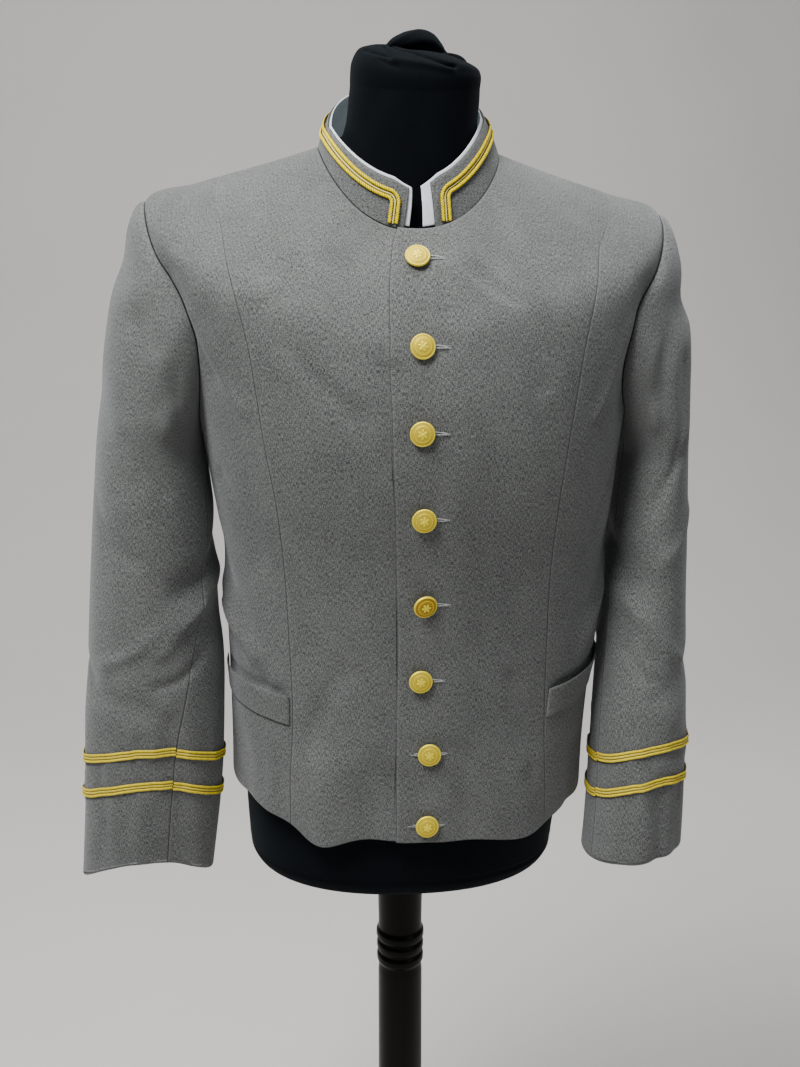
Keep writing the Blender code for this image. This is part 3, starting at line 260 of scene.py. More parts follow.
# Rolls of cloth on the neck cover: places x, y, z and the radius there.
KNOT_ROLLS = (
    ((-30, -5, 1573, 1.6), (-28.1, -5, 1574, 2.8), (-21.8, -5, 1577.1, 5.2),
     (-14.6, -5, 1578.6, 7.6), (-6.4, -5, 1579.7, 9.5), (0.8, -5, 1579.9, 10),
     (8.2, -5, 1577.6, 9.4), (14.7, -5, 1573.5, 7.5), (20.3, -5, 1569.4, 5.5),
     (25.9, -5, 1567, 3)),
    ((18.4, -12, 1567, 1.4), (20.4, -12, 1567.2, 2.5), (26.8, -12, 1566.6, 3.6),
     (33.2, -12, 1565, 4), (38.8, -12, 1562.8, 3.4), (42.5, -12, 1560.4, 2)),
)
POLE_PROFILE = (
    (0, 760.7), (45, 760.7), (46, 753), (40, 745), (26.5, 738), (25, 728), (24, 668), (24, 656),
    (26.5, 652), (26.5, 645), (23.5, 641), (26, 637), (26, 630), (23.5, 626), (26, 622),
    (26, 615), (23.5, 611), (24.5, 600), (25, 420), (26, 210), (30, 90), (38, 46), (40, 30.3),
    (0, 30.3),
)
BASE_PROFILE = (
    (0, 30), (60, 30), (120, 28), (168, 22), (184, 17), (190, 10), (190, 3), (187, 0), (0, 0),
)

IMAGE_SIZE = (800, 1067)
CAMERA_PLACE = (-0.1165, -1.2094, 1.48)
CAMERA_FOCUS_PIXELS, CAMERA_DOWN, CAMERA_TURN = 1250.0, 16.8, 5.5
SENSOR_MM = 36.0


class Side(Enum):
    """The wearer's two sides, with the sign of X there."""

    LEFT = 1
    RIGHT = -1

    @property
    def word(self) -> str:
        """Return the side as it stands in the names of pieces."""
        return self.name.lower()


# ---- measures


def table(names: str, rows: Sequence[Sequence[float]]) -> dict[str, Array]:
    """Turn rows into one array for each column, by the names that spaces part."""
    numbers = np.array(rows, dtype=float)
    return {name: numbers[:, i] for i, name in enumerate(names.split())}


def read(column: Array, at: Any) -> Array:
    """Read a column at fractional row numbers, on a curve through its rows.

    Args:
        column: The column's values.
        at: Row numbers.

    Returns:
        The values there.
    """
    at = np.clip(np.asarray(at, dtype=float), 0.0, len(column) - 1.0)
    low = np.minimum(at.astype(int), len(column) - 2)
    part = at - low
    padded = np.concatenate(([2 * column[0] - column[1]], column, [2 * column[-1] - column[-2]]))
    before, here, there, after = (padded[low + i] for i in range(4))
    slope_here, slope_there, rise = (there - before) / 2, (after - here) / 2, there - here
    return (here + part * slope_here + part ** 2 * (3 * rise - 2 * slope_here - slope_there)
            + part ** 3 * (slope_here + slope_there - 2 * rise))


def ring(row: dict[str, Any], theta: Array) -> Array:
    """Return points on one ring, or on many where the row's values are arrays.

    Args:
        row: The ring's sizes by name.
        theta: Angles round it, in degrees.

    Returns:
        Points in millimetres.
    """
    angle = np.radians(theta)
    across, along = np.sin(angle), np.cos(angle)
    square = row.get("square", SQUARE)
    x = row["mid"] + row["half"] * np.sign(across) * np.abs(across) ** square
    end = np.where(along > 0, row["front"], row["back"])
    y = row["side"] + (end - row["side"]) * np.abs(along) ** square
    z_side = np.where(across > 0, row["z_left"], row["z_right"])
    z_end = np.where(along > 0, row["z_front"], row["z_back"])
    fall = np.where(along > 0, row["fall"], row.get("fall_back", row["fall"]))
    z = z_side + (z_end - z_side) * np.abs(along) ** fall
    return vectors(x, y, z)


def circle(count: int) -> Array:
    """Return even angles round a full turn, in radians."""
    return np.linspace(0, FULL_TURN, count, endpoint=False)


def ring_angle(reach: Any, square: float) -> Array:
    """Return the angle, on a ring's front, at a share of its half width."""
    return np.degrees(np.arcsin(np.clip(np.abs(reach), 0, 1) ** (1 / square))) * np.sign(reach)


def wrapped(turn: Array) -> Array:
    """Return angles in degrees within half a turn of zero."""
    return (turn + 180) % 360 - 180


def unit(vectors: Array) -> Array:
    """Return vectors at length one."""
    return vectors / np.maximum(np.linalg.norm(vectors, axis=-1, keepdims=True), 1e-9)


def vectors(*parts: Any) -> Array:
    """Return values side by side as vectors."""
    return np.stack(np.broadcast_arrays(*parts), axis=-1)


def bell(away: Array, width: Any) -> Array:
    """Return the height of a bell curve some way from its middle."""
    return np.exp(-(away / width) ** 2)


def eased(part: Array) -> Array:
    """Return a share that starts and ends slowly, held between 0 and 1."""
    part = np.clip(part, 0, 1)
    return part * part * (3 - 2 * part)


def leaned(points: Array) -> Array:
    """Return points tipped with the form, still in millimetres."""
    turn = math.radians(LEAN_DEGREES)
    high = points[..., 2] - LEAN_HEIGHT
    x = points[..., 0] * math.cos(turn) + high * math.sin(turn)
    z = high * math.cos(turn) - points[..., 0] * math.sin(turn) + LEAN_HEIGHT
    return vectors(x, points[..., 1], z)


def steps_along(points: Array, axis: int) -> Array:
    """Return the distance run from the first point, along one axis of a grid of points."""
    lengths = np.linalg.norm(np.diff(points, axis=axis), axis=-1)
    start = np.zeros_like(np.take(lengths, [0], axis=axis))
    return np.cumsum(np.concatenate((start, lengths), axis=axis), axis=axis)


def resampled(line: Array, step: float = 0.0, count: int = 0) -> Array:
    """Return a line's points again, evenly spaced.

    Args:
        line: Values along the line, the first three columns being places.
        step: Wanted distance between points.
        count: Or how many points there shall be.

    Returns:
        The same columns at even distances.
    """
    run = steps_along(line[:, :3], 0)
    even = np.linspace(0, run[-1], count or max(int(run[-1] / step), 2) + 1)
    return vectors(*(np.interp(even, run, column) for column in line.T))


@dataclass(frozen=True)
class Crease:
    """One soft ridge or trough of the cloth between two places on its surface."""

    angle_0: float
    z_0: float
    angle_1: float
    z_1: float
    width: float
    depth: float
    bow: float

    def lift(self, angle: Array, z: Array, radius: float) -> Array:
        """Return how far the crease moves the surface outward.

        Args:
            angle: Angles of the surface's points.
            z: Their heights.
            radius: Turns an angle into a length.

        Returns:
            The lift at each point.
        """
        scale = math.radians(1) * radius
        run = np.array([(self.angle_1 - self.angle_0) * scale, self.z_1 - self.z_0])
        length = math.hypot(*run)
        u = wrapped(angle - self.angle_0) * scale
        v = z - self.z_0
        along = (u * run[0] + v * run[1]) / length ** 2
        beyond = (along - np.clip(along, 0, 1)) * length
        off = (v * run[0] - u * run[1]) / length
        if self.bow:
            off = off - self.bow * np.sin(np.pi * np.clip(along, 0, 1))
        width = self.width * (1 + 0.25 * np.sin(5 * along + self.angle_0))
        return self.depth * np.exp(-(off / width) ** 2 - (beyond / self.width) ** 2)


def creases(rows: Iterable[Sequence[float]], deeper: float = 1.0) -> list[Crease]:
    """Return a table's creases, made deeper by a factor."""
    return [Crease(*row[:5], row[5] * deeper, row[6]) for row in rows]


# ---- surfaces


class Surface:
    """A surface laid out by angles and rings; a subclass gives its plain points and its lift."""

    probe: float = 1.0         # how far aside a normal is felt for, in degrees
    rise: float = 0.05         # how far above and below it is, in rings
    span: tuple[float, float] = (-math.inf, math.inf)      # first and last ring
    way: int = 1               # -1 where the angles run the other way round
    least: float = 0.25        # least length of a degree, in millimetres

    def normal(self, angle: Array, at: Array) -> Array:
        """Return the outward normals of the plain surface."""
        low, high = np.clip(at - self.rise, *self.span), np.clip(at + self.rise, *self.span)
        across = self.plain(angle + self.probe, at) - self.plain(angle - self.probe, at)
        return unit(np.cross(across, self.plain(angle, high) - self.plain(angle, low))) * self.way

    def framed(self, angle: Any, at: Any, out: Any = 0.0) -> tuple[Array, Array]:
        """Return folded points moved out by a distance, and the normals there.

        Args:
            angle: Angles round the surface, in degrees.
            at: Ring numbers, or heights on the collar.
            out: Distance outward.

        Returns:
            Points and normals.
        """
        angle, at = np.broadcast_arrays(np.asarray(angle, float), np.asarray(at, float))
        base, normal = self.plain(angle, at), self.normal(angle, at)
        return base + normal * (self.lift(angle, at, base) + out)[..., None], normal

    def gap_angle(self, angle: Array, at: Array, gap: float) -> Array:
        """Return the angle that a distance along a ring spans."""
        across = self.plain(angle + self.probe, at) - self.plain(angle - self.probe, at)
        return gap / np.maximum(np.linalg.norm(across, axis=-1) / (2 * self.probe), self.least)


class BodySurface(Surface):
    """The jacket's body, from the hem to the neckline."""

    probe, rise, span, least = 0.5, 0.04, (0, NECK), 0.5

    def __init__(self) -> None:
        """Read the tables."""
        self.rows = table(BODY_NAMES, BODY_ROWS)
        self.creases = creases(BODY_FOLDS) + creases(BODY_CREASES, CREASE_DEPTH)

    def plain(self, theta: Array, s: Array) -> Array:
        """Return points of the surface without its folds."""
        row = {name: read(column, s) for name, column in self.rows.items()}
        points = ring(row, theta)
        near_hem = np.clip(1 - np.asarray(s) / HEM_DIP_RINGS, 0, 1) ** 2
        for angle, spread, drop in HEM_DIPS:
            points[..., 2] -= drop * near_hem * bell(wrapped(theta - angle), spread)
        return points

    def lift(self, theta: Array, s: Array, base: Array) -> Array:
        """Return how far the creases move points of the plain surface outward."""
        lift = sum(crease.lift(theta, base[..., 2], BODY_RADIUS) for crease in self.creases)
        end, start = FOLDS_END_NECK
        return lift * np.clip((NECK - end - s) / (start - end), 0, 1)

    def angle_at_x(self, x: Any, s: Any) -> Array:
        """Return the angle, on the front, where a ring passes through x."""
        return ring_angle((x - read(self.rows["mid"], s)) / read(self.rows["half"], s), SQUARE)

    def shaped_seam(self, side: Side, s: Array) -> Array:
        """Return the angle of the seam between a front and its side front."""
        angle = self.angle_at_x(read(self.rows["seam_" + side.word], s), s)
        close = np.clip(1 - (self.seam_top(side) - s) / SEAM_END_REACH, 0, 1) ** 3
        return angle + (90.0 * side.value - angle) * close

    def seam_top(self, side: Side) -> float:
        """Return the ring number where the shaped seam reaches the shoulder seam."""
        s = np.linspace(SHOULDER_TIP, NECK, SAMPLES)
        sign = side.value
        side_x = read(self.rows["mid"], s) + sign * read(self.rows["half"], s)
        return float(s[np.argmax(sign * (side_x - SHOULDER_SEAM_X[sign]) < 0)])

    def at_height(self, theta: Array, z: Array) -> Array:
        """Return the ring number at which the surface passes a height at an angle."""
        s = np.linspace(0, NECK, SAMPLES)
        found = [np.interp(height, self.plain(np.full(s.shape, angle), s)[:, 2], s)
                 for angle, height in zip(theta.ravel(), z.ravel())]
        return np.array(found).reshape(theta.shape)


BODY = BodySurface()


def armhole_angle(s: Array, front: bool) -> Array:
    """Return the angle of an armhole edge on the wearer's left."""
    swing, widest = ARMHOLE_FRONT if front else ARMHOLE_BACK
    half = np.where(s < widest, widest - UNDERARM, SHOULDER_TIP - widest)
    part = np.clip(np.abs(s - widest) / half, 0, 1)
    reach = swing * np.sqrt(1 - part ** ARMHOLE_POWER)
    return 90 - reach if front else 90 + reach


class SleeveSurface(Surface):
    """One sleeve, from the armhole to the cuff."""

    rise = 0.03

    def __init__(self, side: Side) -> None:
        """Read the tables and lay the armhole's edges out."""
        self.sign = self.way = side.value
        self.rows = table(SLEEVE_NAMES, SLEEVE_ROWS[self.sign])
        self.span = (0, len(self.rows["z"]))
        self.creases = (creases(SLEEVE_FOLDS[self.sign])
                        + creases(SLEEVE_CREASES[self.sign], CREASE_DEPTH) + creases(self.puckers()))
        self.edges = {front: self.armhole_edge(front) for front in (True, False)}

    def puckers(self) -> list[tuple[float, ...]]:
        """Return the short creases that the cuff braids draw the cloth into."""
        dice = np.random.default_rng(40 + self.sign)
        made = []
        for row in CUFF_RINGS.values():
            height = float(read(self.rows["z"], row - 1))
            front_rise = float(read(self.rows["rise_front"], row - 1))
            for angle in np.arange(0, 360, 24):
                start = angle + dice.uniform(-8, 8)
                depth = dice.choice((-1, 1)) * dice.uniform(0.5, 1.3)
                up = dice.uniform(14, 34)
                rise = front_rise * max(math.sin(math.radians(start)), 0) ** 2
                made.append((start, height + rise - 4, start + dice.uniform(-6, 6),
                             height + rise + up, dice.uniform(3.5, 6), depth, 0))
        return made

    def armhole_edge(self, front: bool) -> Array:
        """Return even points of the armhole from the shoulder tip to the underarm."""
        part = np.linspace(0, math.pi, SAMPLES)
        s = UNDERARM + (SHOULDER_TIP - UNDERARM) * (1 + np.cos(part)) / 2
        return resampled(BODY.framed(self.sign * armhole_angle(s, front), s)[0], count=SAMPLES)

    def armhole(self, phi: Array) -> Array:
        """Return the armhole point that an angle of the sleeve starts from."""
        phi = phi % 360
        front = phi <= 180
        at = np.where(front, phi, 360 - phi) / 180 * (SAMPLES - 1)
        low = np.minimum(at.astype(int), SAMPLES - 2)
        part = (at - low)[..., None]
        lines = {key: line[low] * (1 - part) + line[low + 1] * part for key, line in self.edges.items()}
        return np.where(front[..., None], lines[True], lines[False])

    def tube(self, phi: Array, row: Array) -> Array:
        """Return points on the rings below the armhole; row 0 is the first ring."""
        angle = np.radians(phi)
        values = {name: read(column, row) for name, column in self.rows.items()}
        out, front = np.cos(angle), np.sin(angle)
        x_reach = np.sign(out) * np.abs(out) ** SLEEVE_SQUARE
        y_reach = np.sign(front) * np.abs(front) ** SLEEVE_SQUARE
        x = values["mid"] + self.sign * values["half_x"] * x_reach
        y = values["mid_y"] - values["half_y"] * y_reach
        rise = np.where(front > 0, values["rise_front"], values["rise_back"])
        z = values["z"] + rise * front ** 2 + values["roll"] * out
        return vectors(x, y, z)

    def head(self, phi: Array, t: Array) -> Array:
        """Return points of the sleeve head; t runs from 0 at the armhole to 1."""
        angle = np.radians(phi)
        reach, share = SLEEVE_HEAD[self.sign]
        start, end = self.armhole(phi), self.tube(phi, np.zeros_like(t))
        outward = (1 + np.cos(angle)) / 2
        drop = np.linalg.norm(end - start, axis=-1)
        lead = vectors(self.sign * reach * outward, -HEAD_FRONT * np.sin(angle),
                       -HEAD_DROP[1] + (HEAD_DROP[1] - HEAD_DROP[0]) * outward)
        climb = unit(end - self.tube(phi, np.full_like(t, 0.6))) * (drop * share)[..., None]
        t = t[..., None]
        return (start * (1 - t) ** 3 + (start + lead) * 3 * t * (1 - t) ** 2
                + (end + climb) * 3 * t ** 2 * (1 - t) + end * t ** 3)

    def plain(self, phi: Array, t: Array) -> Array:
        """Return points of the surface without its folds; t - 1 is the tube's row number."""
        top, below = self.head(phi, np.clip(t, 0, 1)), self.tube(phi, np.clip(t - 1, 0, None))
        return np.where((t < 1)[..., None], top, below)

    def lift(self, phi: Array, t: Array, base: Array) -> Array:
        """Return how far the creases move points of the plain surface outward."""
        lift = sum(crease.lift(phi, base[..., 2], SLEEVE_RADIUS) for crease in self.creases)
        start, end = FOLDS_START_ARMHOLE
        return lift * np.clip((t - start) / (end - start), 0, 1)

    def seam(self, name: str, t: Array) -> Array:
        """Return the angle of the front seam or of the hind seam."""
        return read(self.rows[name], t - 1)


class CollarSurface(Surface):
    """The stand of the collar; v is 0 at its seam and 1 at its top edge."""

    @staticmethod
    def plain(theta: Array, v: Array) -> Array:
        """Return points of the collar before its bulge."""
        foot = BODY.plain(theta, np.full(theta.shape, float(NECK)))
        foot = foot + np.array([0, 0, COLLAR_FOOT_GAP])
        head = ring(COLLAR_TOP, theta)
        middle, width, depth = COLLAR_DIP
        head[..., 2] -= depth * np.clip(1 - np.abs(wrapped(theta - middle)) / width, 0, 1)
        return foot + (head - foot) * v[..., None]

    @staticmethod
    def lift(theta: Array, v: Array, base: Array) -> Array:
        """Return the collar's bulge."""
        return COLLAR_BULGE * np.sin(np.pi * np.clip(v, 0, 1))

    @staticmethod
    def end_angle(x: float, top: bool = True) -> float:
        """Return the angle where the top edge or the seam passes through x."""
        seam = {name: column[NECK] for name, column in BODY.rows.items()}
        edge = COLLAR_TOP if top else seam
        return float(ring_angle((x - edge["mid"]) / edge["half"], edge.get("square", SQUARE)))


# ---- shaders


class Socket:
    """A value on its way through a material; Python's operators add Math nodes to it."""

    def __init__(self, graph: "Graph", output: Any) -> None:
        """Wrap an output socket of a node."""
        self.graph = graph
        self.output = output

    def out(self, name: str) -> "Socket":
        """Return another output of the same node."""
        return Socket(self.graph, self.output.node.outputs[name])

    def maths(self, operation: str, *values: Any) -> "Socket":
        """Return the result of a Math node on this value and others."""
        inputs = dict(enumerate((self, *values)))
        return self.graph.node("ShaderNodeMath", {"operation": operation}, inputs)

    def __add__(self, other: Any) -> "Socket":
        """Return the sum."""
        return self.maths("ADD", other)

    __radd__ = __add__

    def __mul__(self, other: Any) -> "Socket":
        """Return the product."""
        return self.maths("MULTIPLY", other)

    def __sub__(self, other: Any) -> "Socket":
        """Return the difference."""
        return self.maths("SUBTRACT", other)

    def __rsub__(self, other: Any) -> "Socket":
        """Return the difference the other way round."""
        return self.graph.node("ShaderNodeMath", {"operation": "SUBTRACT"}, {0: other, 1: self})

    def sine(self) -> "Socket":
        """Return the sine of the value in radians."""
        return self.maths("SINE")

    def between(self, low: float, high: float) -> "Socket":
        """Return 0 below low and 1 above high, with an eased rise between."""
        inputs = {"Value": self, "From Min": low, "From Max": high}
        return self.graph.node("ShaderNodeMapRange", {"interpolation_type": "SMOOTHSTEP"}, inputs)


class Graph:
    """A material's nodes, with its Principled shader ready."""

    def __init__(self, name: str, **constants: Any) -> None:
        """Start a material and set the shader's own sockets."""
        self.material = bpy.data.materials.new(name)
        self.material.use_nodes = True
        self.tree = self.material.node_tree
        self.shader = self.tree.nodes["Principled BSDF"]
        for socket, value in constants.items():
            self.shader.inputs[socket.replace("_", " ")].default_value = value

    def node(self, kind: str, settings: dict[str, Any] | None = None,
             inputs: dict[Any, Any] | None = None, out: Any = 0) -> Socket:
        """Add a node.

        Args:
            kind: The node's type.
            settings: Its properties.
            inputs: Values or links of its sockets, by name or number.
            out: The output to return.

        Returns:
            That output.
        """
        node = self.tree.nodes.new(kind)
        for key, value in (settings or {}).items():
            setattr(node, key, value)
        for key, value in (inputs or {}).items():
            self.feed(node.inputs[key], value)
        return Socket(self, node.outputs[out])

    def feed(self, socket: Any, value: Any) -> None:
        """Link a value into a socket, or set it there."""
        if isinstance(value, Socket):
            self.tree.links.new(value.output, socket)
        elif isinstance(value, tuple) and socket.type == "RGBA" and len(value) == 3:
            socket.default_value = (*value, 1)
        else:
            socket.default_value = value

    def attribute(self, name: str) -> Socket:
        """Return a vector that the mesh holds at its points."""
        return self.node("ShaderNodeAttribute", {"attribute_name": name}, out="Vector")

    def axes(self, vector: Socket) -> Socket:
        """Return a vector's first part; the others are its outputs Y and Z."""
        return self.node("ShaderNodeSeparateXYZ", None, {0: vector})

    def place(self) -> Socket:
        """Return the place on the object."""
        return self.node("ShaderNodeTexCoord", out="Object")

    def noise(self, vector: Socket, scale: float, detail: float = 2.0,
              roughness: float = 0.5) -> Socket:
        """Return soft noise from 0 to 1 at places."""
        inputs = {"Vector": vector, "Scale": scale, "Detail": detail, "Roughness": roughness}
        return self.node("ShaderNodeTexNoise", None, inputs)

    def fleck(self, vector: Socket, scale: tuple[float, float, float], detail: float = 2.0,
              roughness: float = 0.5) -> Socket:
        """Return soft noise with a scale of its own for each axis."""
        scaled = self.node("ShaderNodeVectorMath", {"operation": "MULTIPLY"}, {0: vector, 1: scale})
        return self.noise(scaled, 1.0, detail, roughness)

    @staticmethod
    def weave(axes: Socket, thread: float) -> Socket:
        """Return the height of a plain weave whose threads lie some way apart."""
        return (axes * (FULL_TURN / thread)).sine() * (axes.out("Y") * (FULL_TURN / thread)).sine()

    def blend(self, share: Any, first: Any, second: Any) -> Socket:
        """Return a mix of two colours."""
        return self.node("ShaderNodeMix", {"data_type": "RGBA"}, {0: share, 6: first, 7: second}, out=2)

    def bump(self, height: Socket, distance: float, strength: float = 1.0) -> None:
        """Feed the shader's normal with a height in metres times distance."""
        inputs = {"Height": height, "Distance": distance, "Strength": strength}
        self.feed(self.shader.inputs["Normal"], self.node("ShaderNodeBump", None, inputs))

    def drive(self, **values: Any) -> None:
        """Feed the shader's varying sockets."""
        for socket, value in values.items():
            self.feed(self.shader.inputs[socket.replace("_", " ")], value)


@dataclass(frozen=True)
class Worsted:
    """Fine pepper-and-salt wool cloth, plain woven and lightly napped."""

    dark: Colour = (0.022, 0.024, 0.024)
    light: Colour = (0.215, 0.222, 0.214)
    # painted shade: the near black that the cloth turns within a millimetre of its edges and seams
    groove: Colour = (0.006, 0.006, 0.006)
    thread: float = 0.62        # distance between threads, in millimetres
    sheen: float = 0.22

    def material(self) -> Any:
        """Return the material; it reads the mesh's grain in millimetres."""
        graph = Graph("worsted", Sheen_Weight=self.sheen, Sheen_Roughness=0.45,
                      Sheen_Tint=(0.93, 0.95, 1.0, 1.0), Specular_IOR_Level=0.32)
        grain = graph.attribute("grain")
        warp = graph.fleck(grain, (1.9, 0.30, 0), 2.0, 0.6)
        weft = graph.fleck(grain, (0.34, 1.9, 0), 2.0, 0.6)
        speck = graph.fleck(grain, (2.0, 2.0, 0), 2.0, 0.7)
        patch = graph.fleck(grain, (0.012, 0.009, 0), 2.0)
        cloud = graph.fleck(grain, (0.05, 0.035, 0), 2.0)
        axes = graph.axes(grain)
        weave = graph.weave(axes, self.thread)
        melange = warp * 0.38 + weft * 0.28 + speck * 0.34
        drift = (patch - 0.5) * 0.34 + (cloud - 0.5) * 0.26
        tone = melange.between(0.44, 0.565) + weave * 0.08 + drift
        colour = graph.blend(tone.between(-0.18, 1.18), self.dark, self.light)
        edge = 1 - axes.out("Z").between(0.8, 4.0)
        worn = graph.blend(edge * 0.14, colour, self.light)
        # Painted shade: the cloth goes near black within about a millimetre of its edges and seams,
        # standing in for the shade that falls there.
        painted_seam_shade = graph.blend((1 - axes.out("Z").between(0.1, 1.0)) * 0.85, worn, self.groove)
        graph.drive(Base_Color=painted_seam_shade, Roughness=0.86 - melange * 0.12)
        graph.bump(weave * 0.45 + melange * 0.5, 0.00022, 0.5)
        return graph.material


@dataclass(frozen=True)
class GoldCord:
    """Bright gold thread, spun round a cord."""

    # painted shade: the dark brown of the grooves between plies and of the cord's sides and underside
    groove: Colour = (0.050, 0.028, 0.0)
    crown: Colour = (1.0, 0.77, 0.0)
    pale: Colour = (1.0, 0.88, 0.42)

    def material(self) -> Any:
        """Return the material; the mesh's strand holds length, turn and ply height times how far the
        cord faces away from the cloth, which sets its painted shade.
        """
        graph = Graph("gold_cord", Metallic=0.05, Specular_IOR_Level=0.08)
        strand = graph.attribute("strand")
        axes = graph.axes(strand)
        fibre = graph.fleck(strand, (3.0, 5.0, 0), 3.0, 0.7)
        # Painted shade: low values, in the grooves and on the cord's sides, take the dark groove
        # colour.
        height = axes.out("Z")
        tone = (height + (fibre - 0.5) * 0.3).between(0.20, 0.76)
        colour = graph.blend(tone, self.groove, self.crown)
        paled = graph.blend(graph.attribute("pale").maths("MINIMUM", 1.0) * 0.75, colour, self.pale)
        graph.drive(Base_Color=paled, Roughness=0.46 - tone * 0.12)
        lines = ((axes * 1.9 + axes.out("Y") * 2.6) * FULL_TURN).sine()
        graph.bump(lines * 0.5 + fibre, 0.00012, 0.6)
        return graph.material


@dataclass(frozen=True)
class Gilt:
    """Matt gilding on a stamped metal button."""

    face: Colour = (1.0, 0.83, 0.06)
    hollow: Colour = (0.42, 0.24, 0.012)
    patina: float = 0.0

    def material(self, name: str) -> Any:
        """Return the material; the mesh's relief holds radius, turn and height."""
        graph = Graph(name, Metallic=0.4, Specular_IOR_Level=0.3)
        height = graph.axes(graph.attribute("relief")).out("Z")
        place = graph.place()
        grit = graph.noise(place, 1800.0, 3.0, 0.7)
        cloud = graph.noise(place, 220.0, 3.0)
        sunk = 1 - (height + (cloud - 0.5) * 0.3).between(0.05, 0.75)
        colour = graph.blend(sunk * (0.55 + self.patina * 0.7), self.face, self.hollow)
        graph.drive(Base_Color=colour, Roughness=0.44 + grit * 0.10 + sunk * 0.14)
        graph.bump(grit, 0.00006, 0.5)
        return graph.material


@dataclass(frozen=True)
class Jersey:
    """Thin black stretch knit over a firm form."""

    colour: Colour = (0.0006, 0.0013, 0.0021)
    worn: Colour = (0.0018, 0.0036, 0.0055)
    rib: float = 0.9            # distance between ribs, in millimetres
    loop: float = 0.7           # distance between loops

    def material(self) -> Any:
        """Return the material; it reads the mesh's grain in millimetres."""
        graph = Graph("jersey", Sheen_Weight=0.018, Sheen_Roughness=0.5,
                      Sheen_Tint=(0.65, 0.85, 1.0, 1.0), Specular_IOR_Level=0.08)
        grain = graph.attribute("grain")
        axes = graph.axes(grain)
        rib = (axes * (FULL_TURN / self.rib)).sine()
        loop = (axes.out("Y") * (FULL_TURN / self.loop) + axes * 3.5).sine()
        fuzz = graph.fleck(grain, (0.9, 0.9, 0), 3.0, 0.7)
        patch = graph.fleck(grain, (0.015, 0.02, 0), 3.0)
        share = (fuzz * 0.6 + patch * 0.6).between(0.35, 0.85)
        graph.drive(Base_Color=graph.blend(share, self.colour, self.worn), Roughness=0.78 + fuzz * 0.14)
        graph.bump(rib * 0.5 + rib * loop * 0.3 + fuzz, 0.00016, 0.5)
        return graph.material


@dataclass(frozen=True)
class Cotton:
    """Starched white cotton, plain woven; it can carry a faint glow of painted light."""

    name: str = "cotton"
    white: Colour = (0.86, 0.89, 0.91)
    grey: Colour = (0.68, 0.72, 0.75)
    glow: float = 0.10          # painted light: faint bluish emission that brightens the cotton where it lies in shade
    thread: float = 0.5         # distance between threads, in millimetres

    def material(self) -> Any:
        """Return the material; it reads the mesh's grain in millimetres."""
        # Painted light: the emission makes the cotton glow faintly, lifting its faces that lie in
        # shade.
        graph = Graph(self.name, Sheen_Weight=0.1, Specular_IOR_Level=0.35,
                      Emission_Color=(0.62, 0.78, 0.84, 1.0), Emission_Strength=self.glow)
        grain = graph.attribute("grain")
        axes = graph.axes(grain)
        weave = graph.weave(axes, self.thread)
        soft = graph.fleck(grain, (0.12, 0.12, 0), 3.0)
        share = (soft * 0.8 + weave * 0.06).between(0.3, 0.75)
        graph.drive(Base_Color=graph.blend(share, self.grey, self.white), Roughness=0.8)
        graph.bump(weave * 0.4 + soft, 0.0002, 0.4)
        return graph.material


@dataclass(frozen=True)
class Lacquer:
    """Glossy black lacquer over turned wood."""

    def material(self) -> Any:
        """Return the material; rings and grain show faintly through the lacquer."""
        graph = Graph("lacquer", Coat_Weight=0.02, Coat_Roughness=0.12, Specular_IOR_Level=0.07)
        place = graph.place()
        grain = graph.fleck(place, (60.0, 60.0, 4.0), 4.0, 0.6)
        dust = graph.noise(place, 300.0, 3.0, 0.7)
        tone = graph.blend(grain.between(0.35, 0.8), (0.0016, 0.0013, 0.0008), (0.0050, 0.0038, 0.0020))
        graph.drive(Base_Color=tone, Roughness=0.22 + dust * 0.12 + grain * 0.06)
        graph.bump(grain, 0.0002, 0.25)
        return graph.material


@dataclass(frozen=True)
class Plaster:
    """The plain pale floor and the wall behind it."""

    def material(self) -> Any:
        """Return the material."""
        graph = Graph("pale_floor", Specular_IOR_Level=0.2)
        place = graph.place()
        cloud = graph.noise(place, 3.0, 4.0)
        graph.drive(Base_Color=graph.blend(cloud, (0.66, 0.645, 0.62), (0.70, 0.685, 0.66)),
                    Roughness=0.9)
        return graph.material


# ---- meshes


def placed(name: str, data: Any) -> Any:
    """Return a new object in the scene for a mesh, a light or a camera."""
    thing = bpy.data.objects.new(name, data)
    bpy.context.scene.collection.objects.link(thing)
    return thing


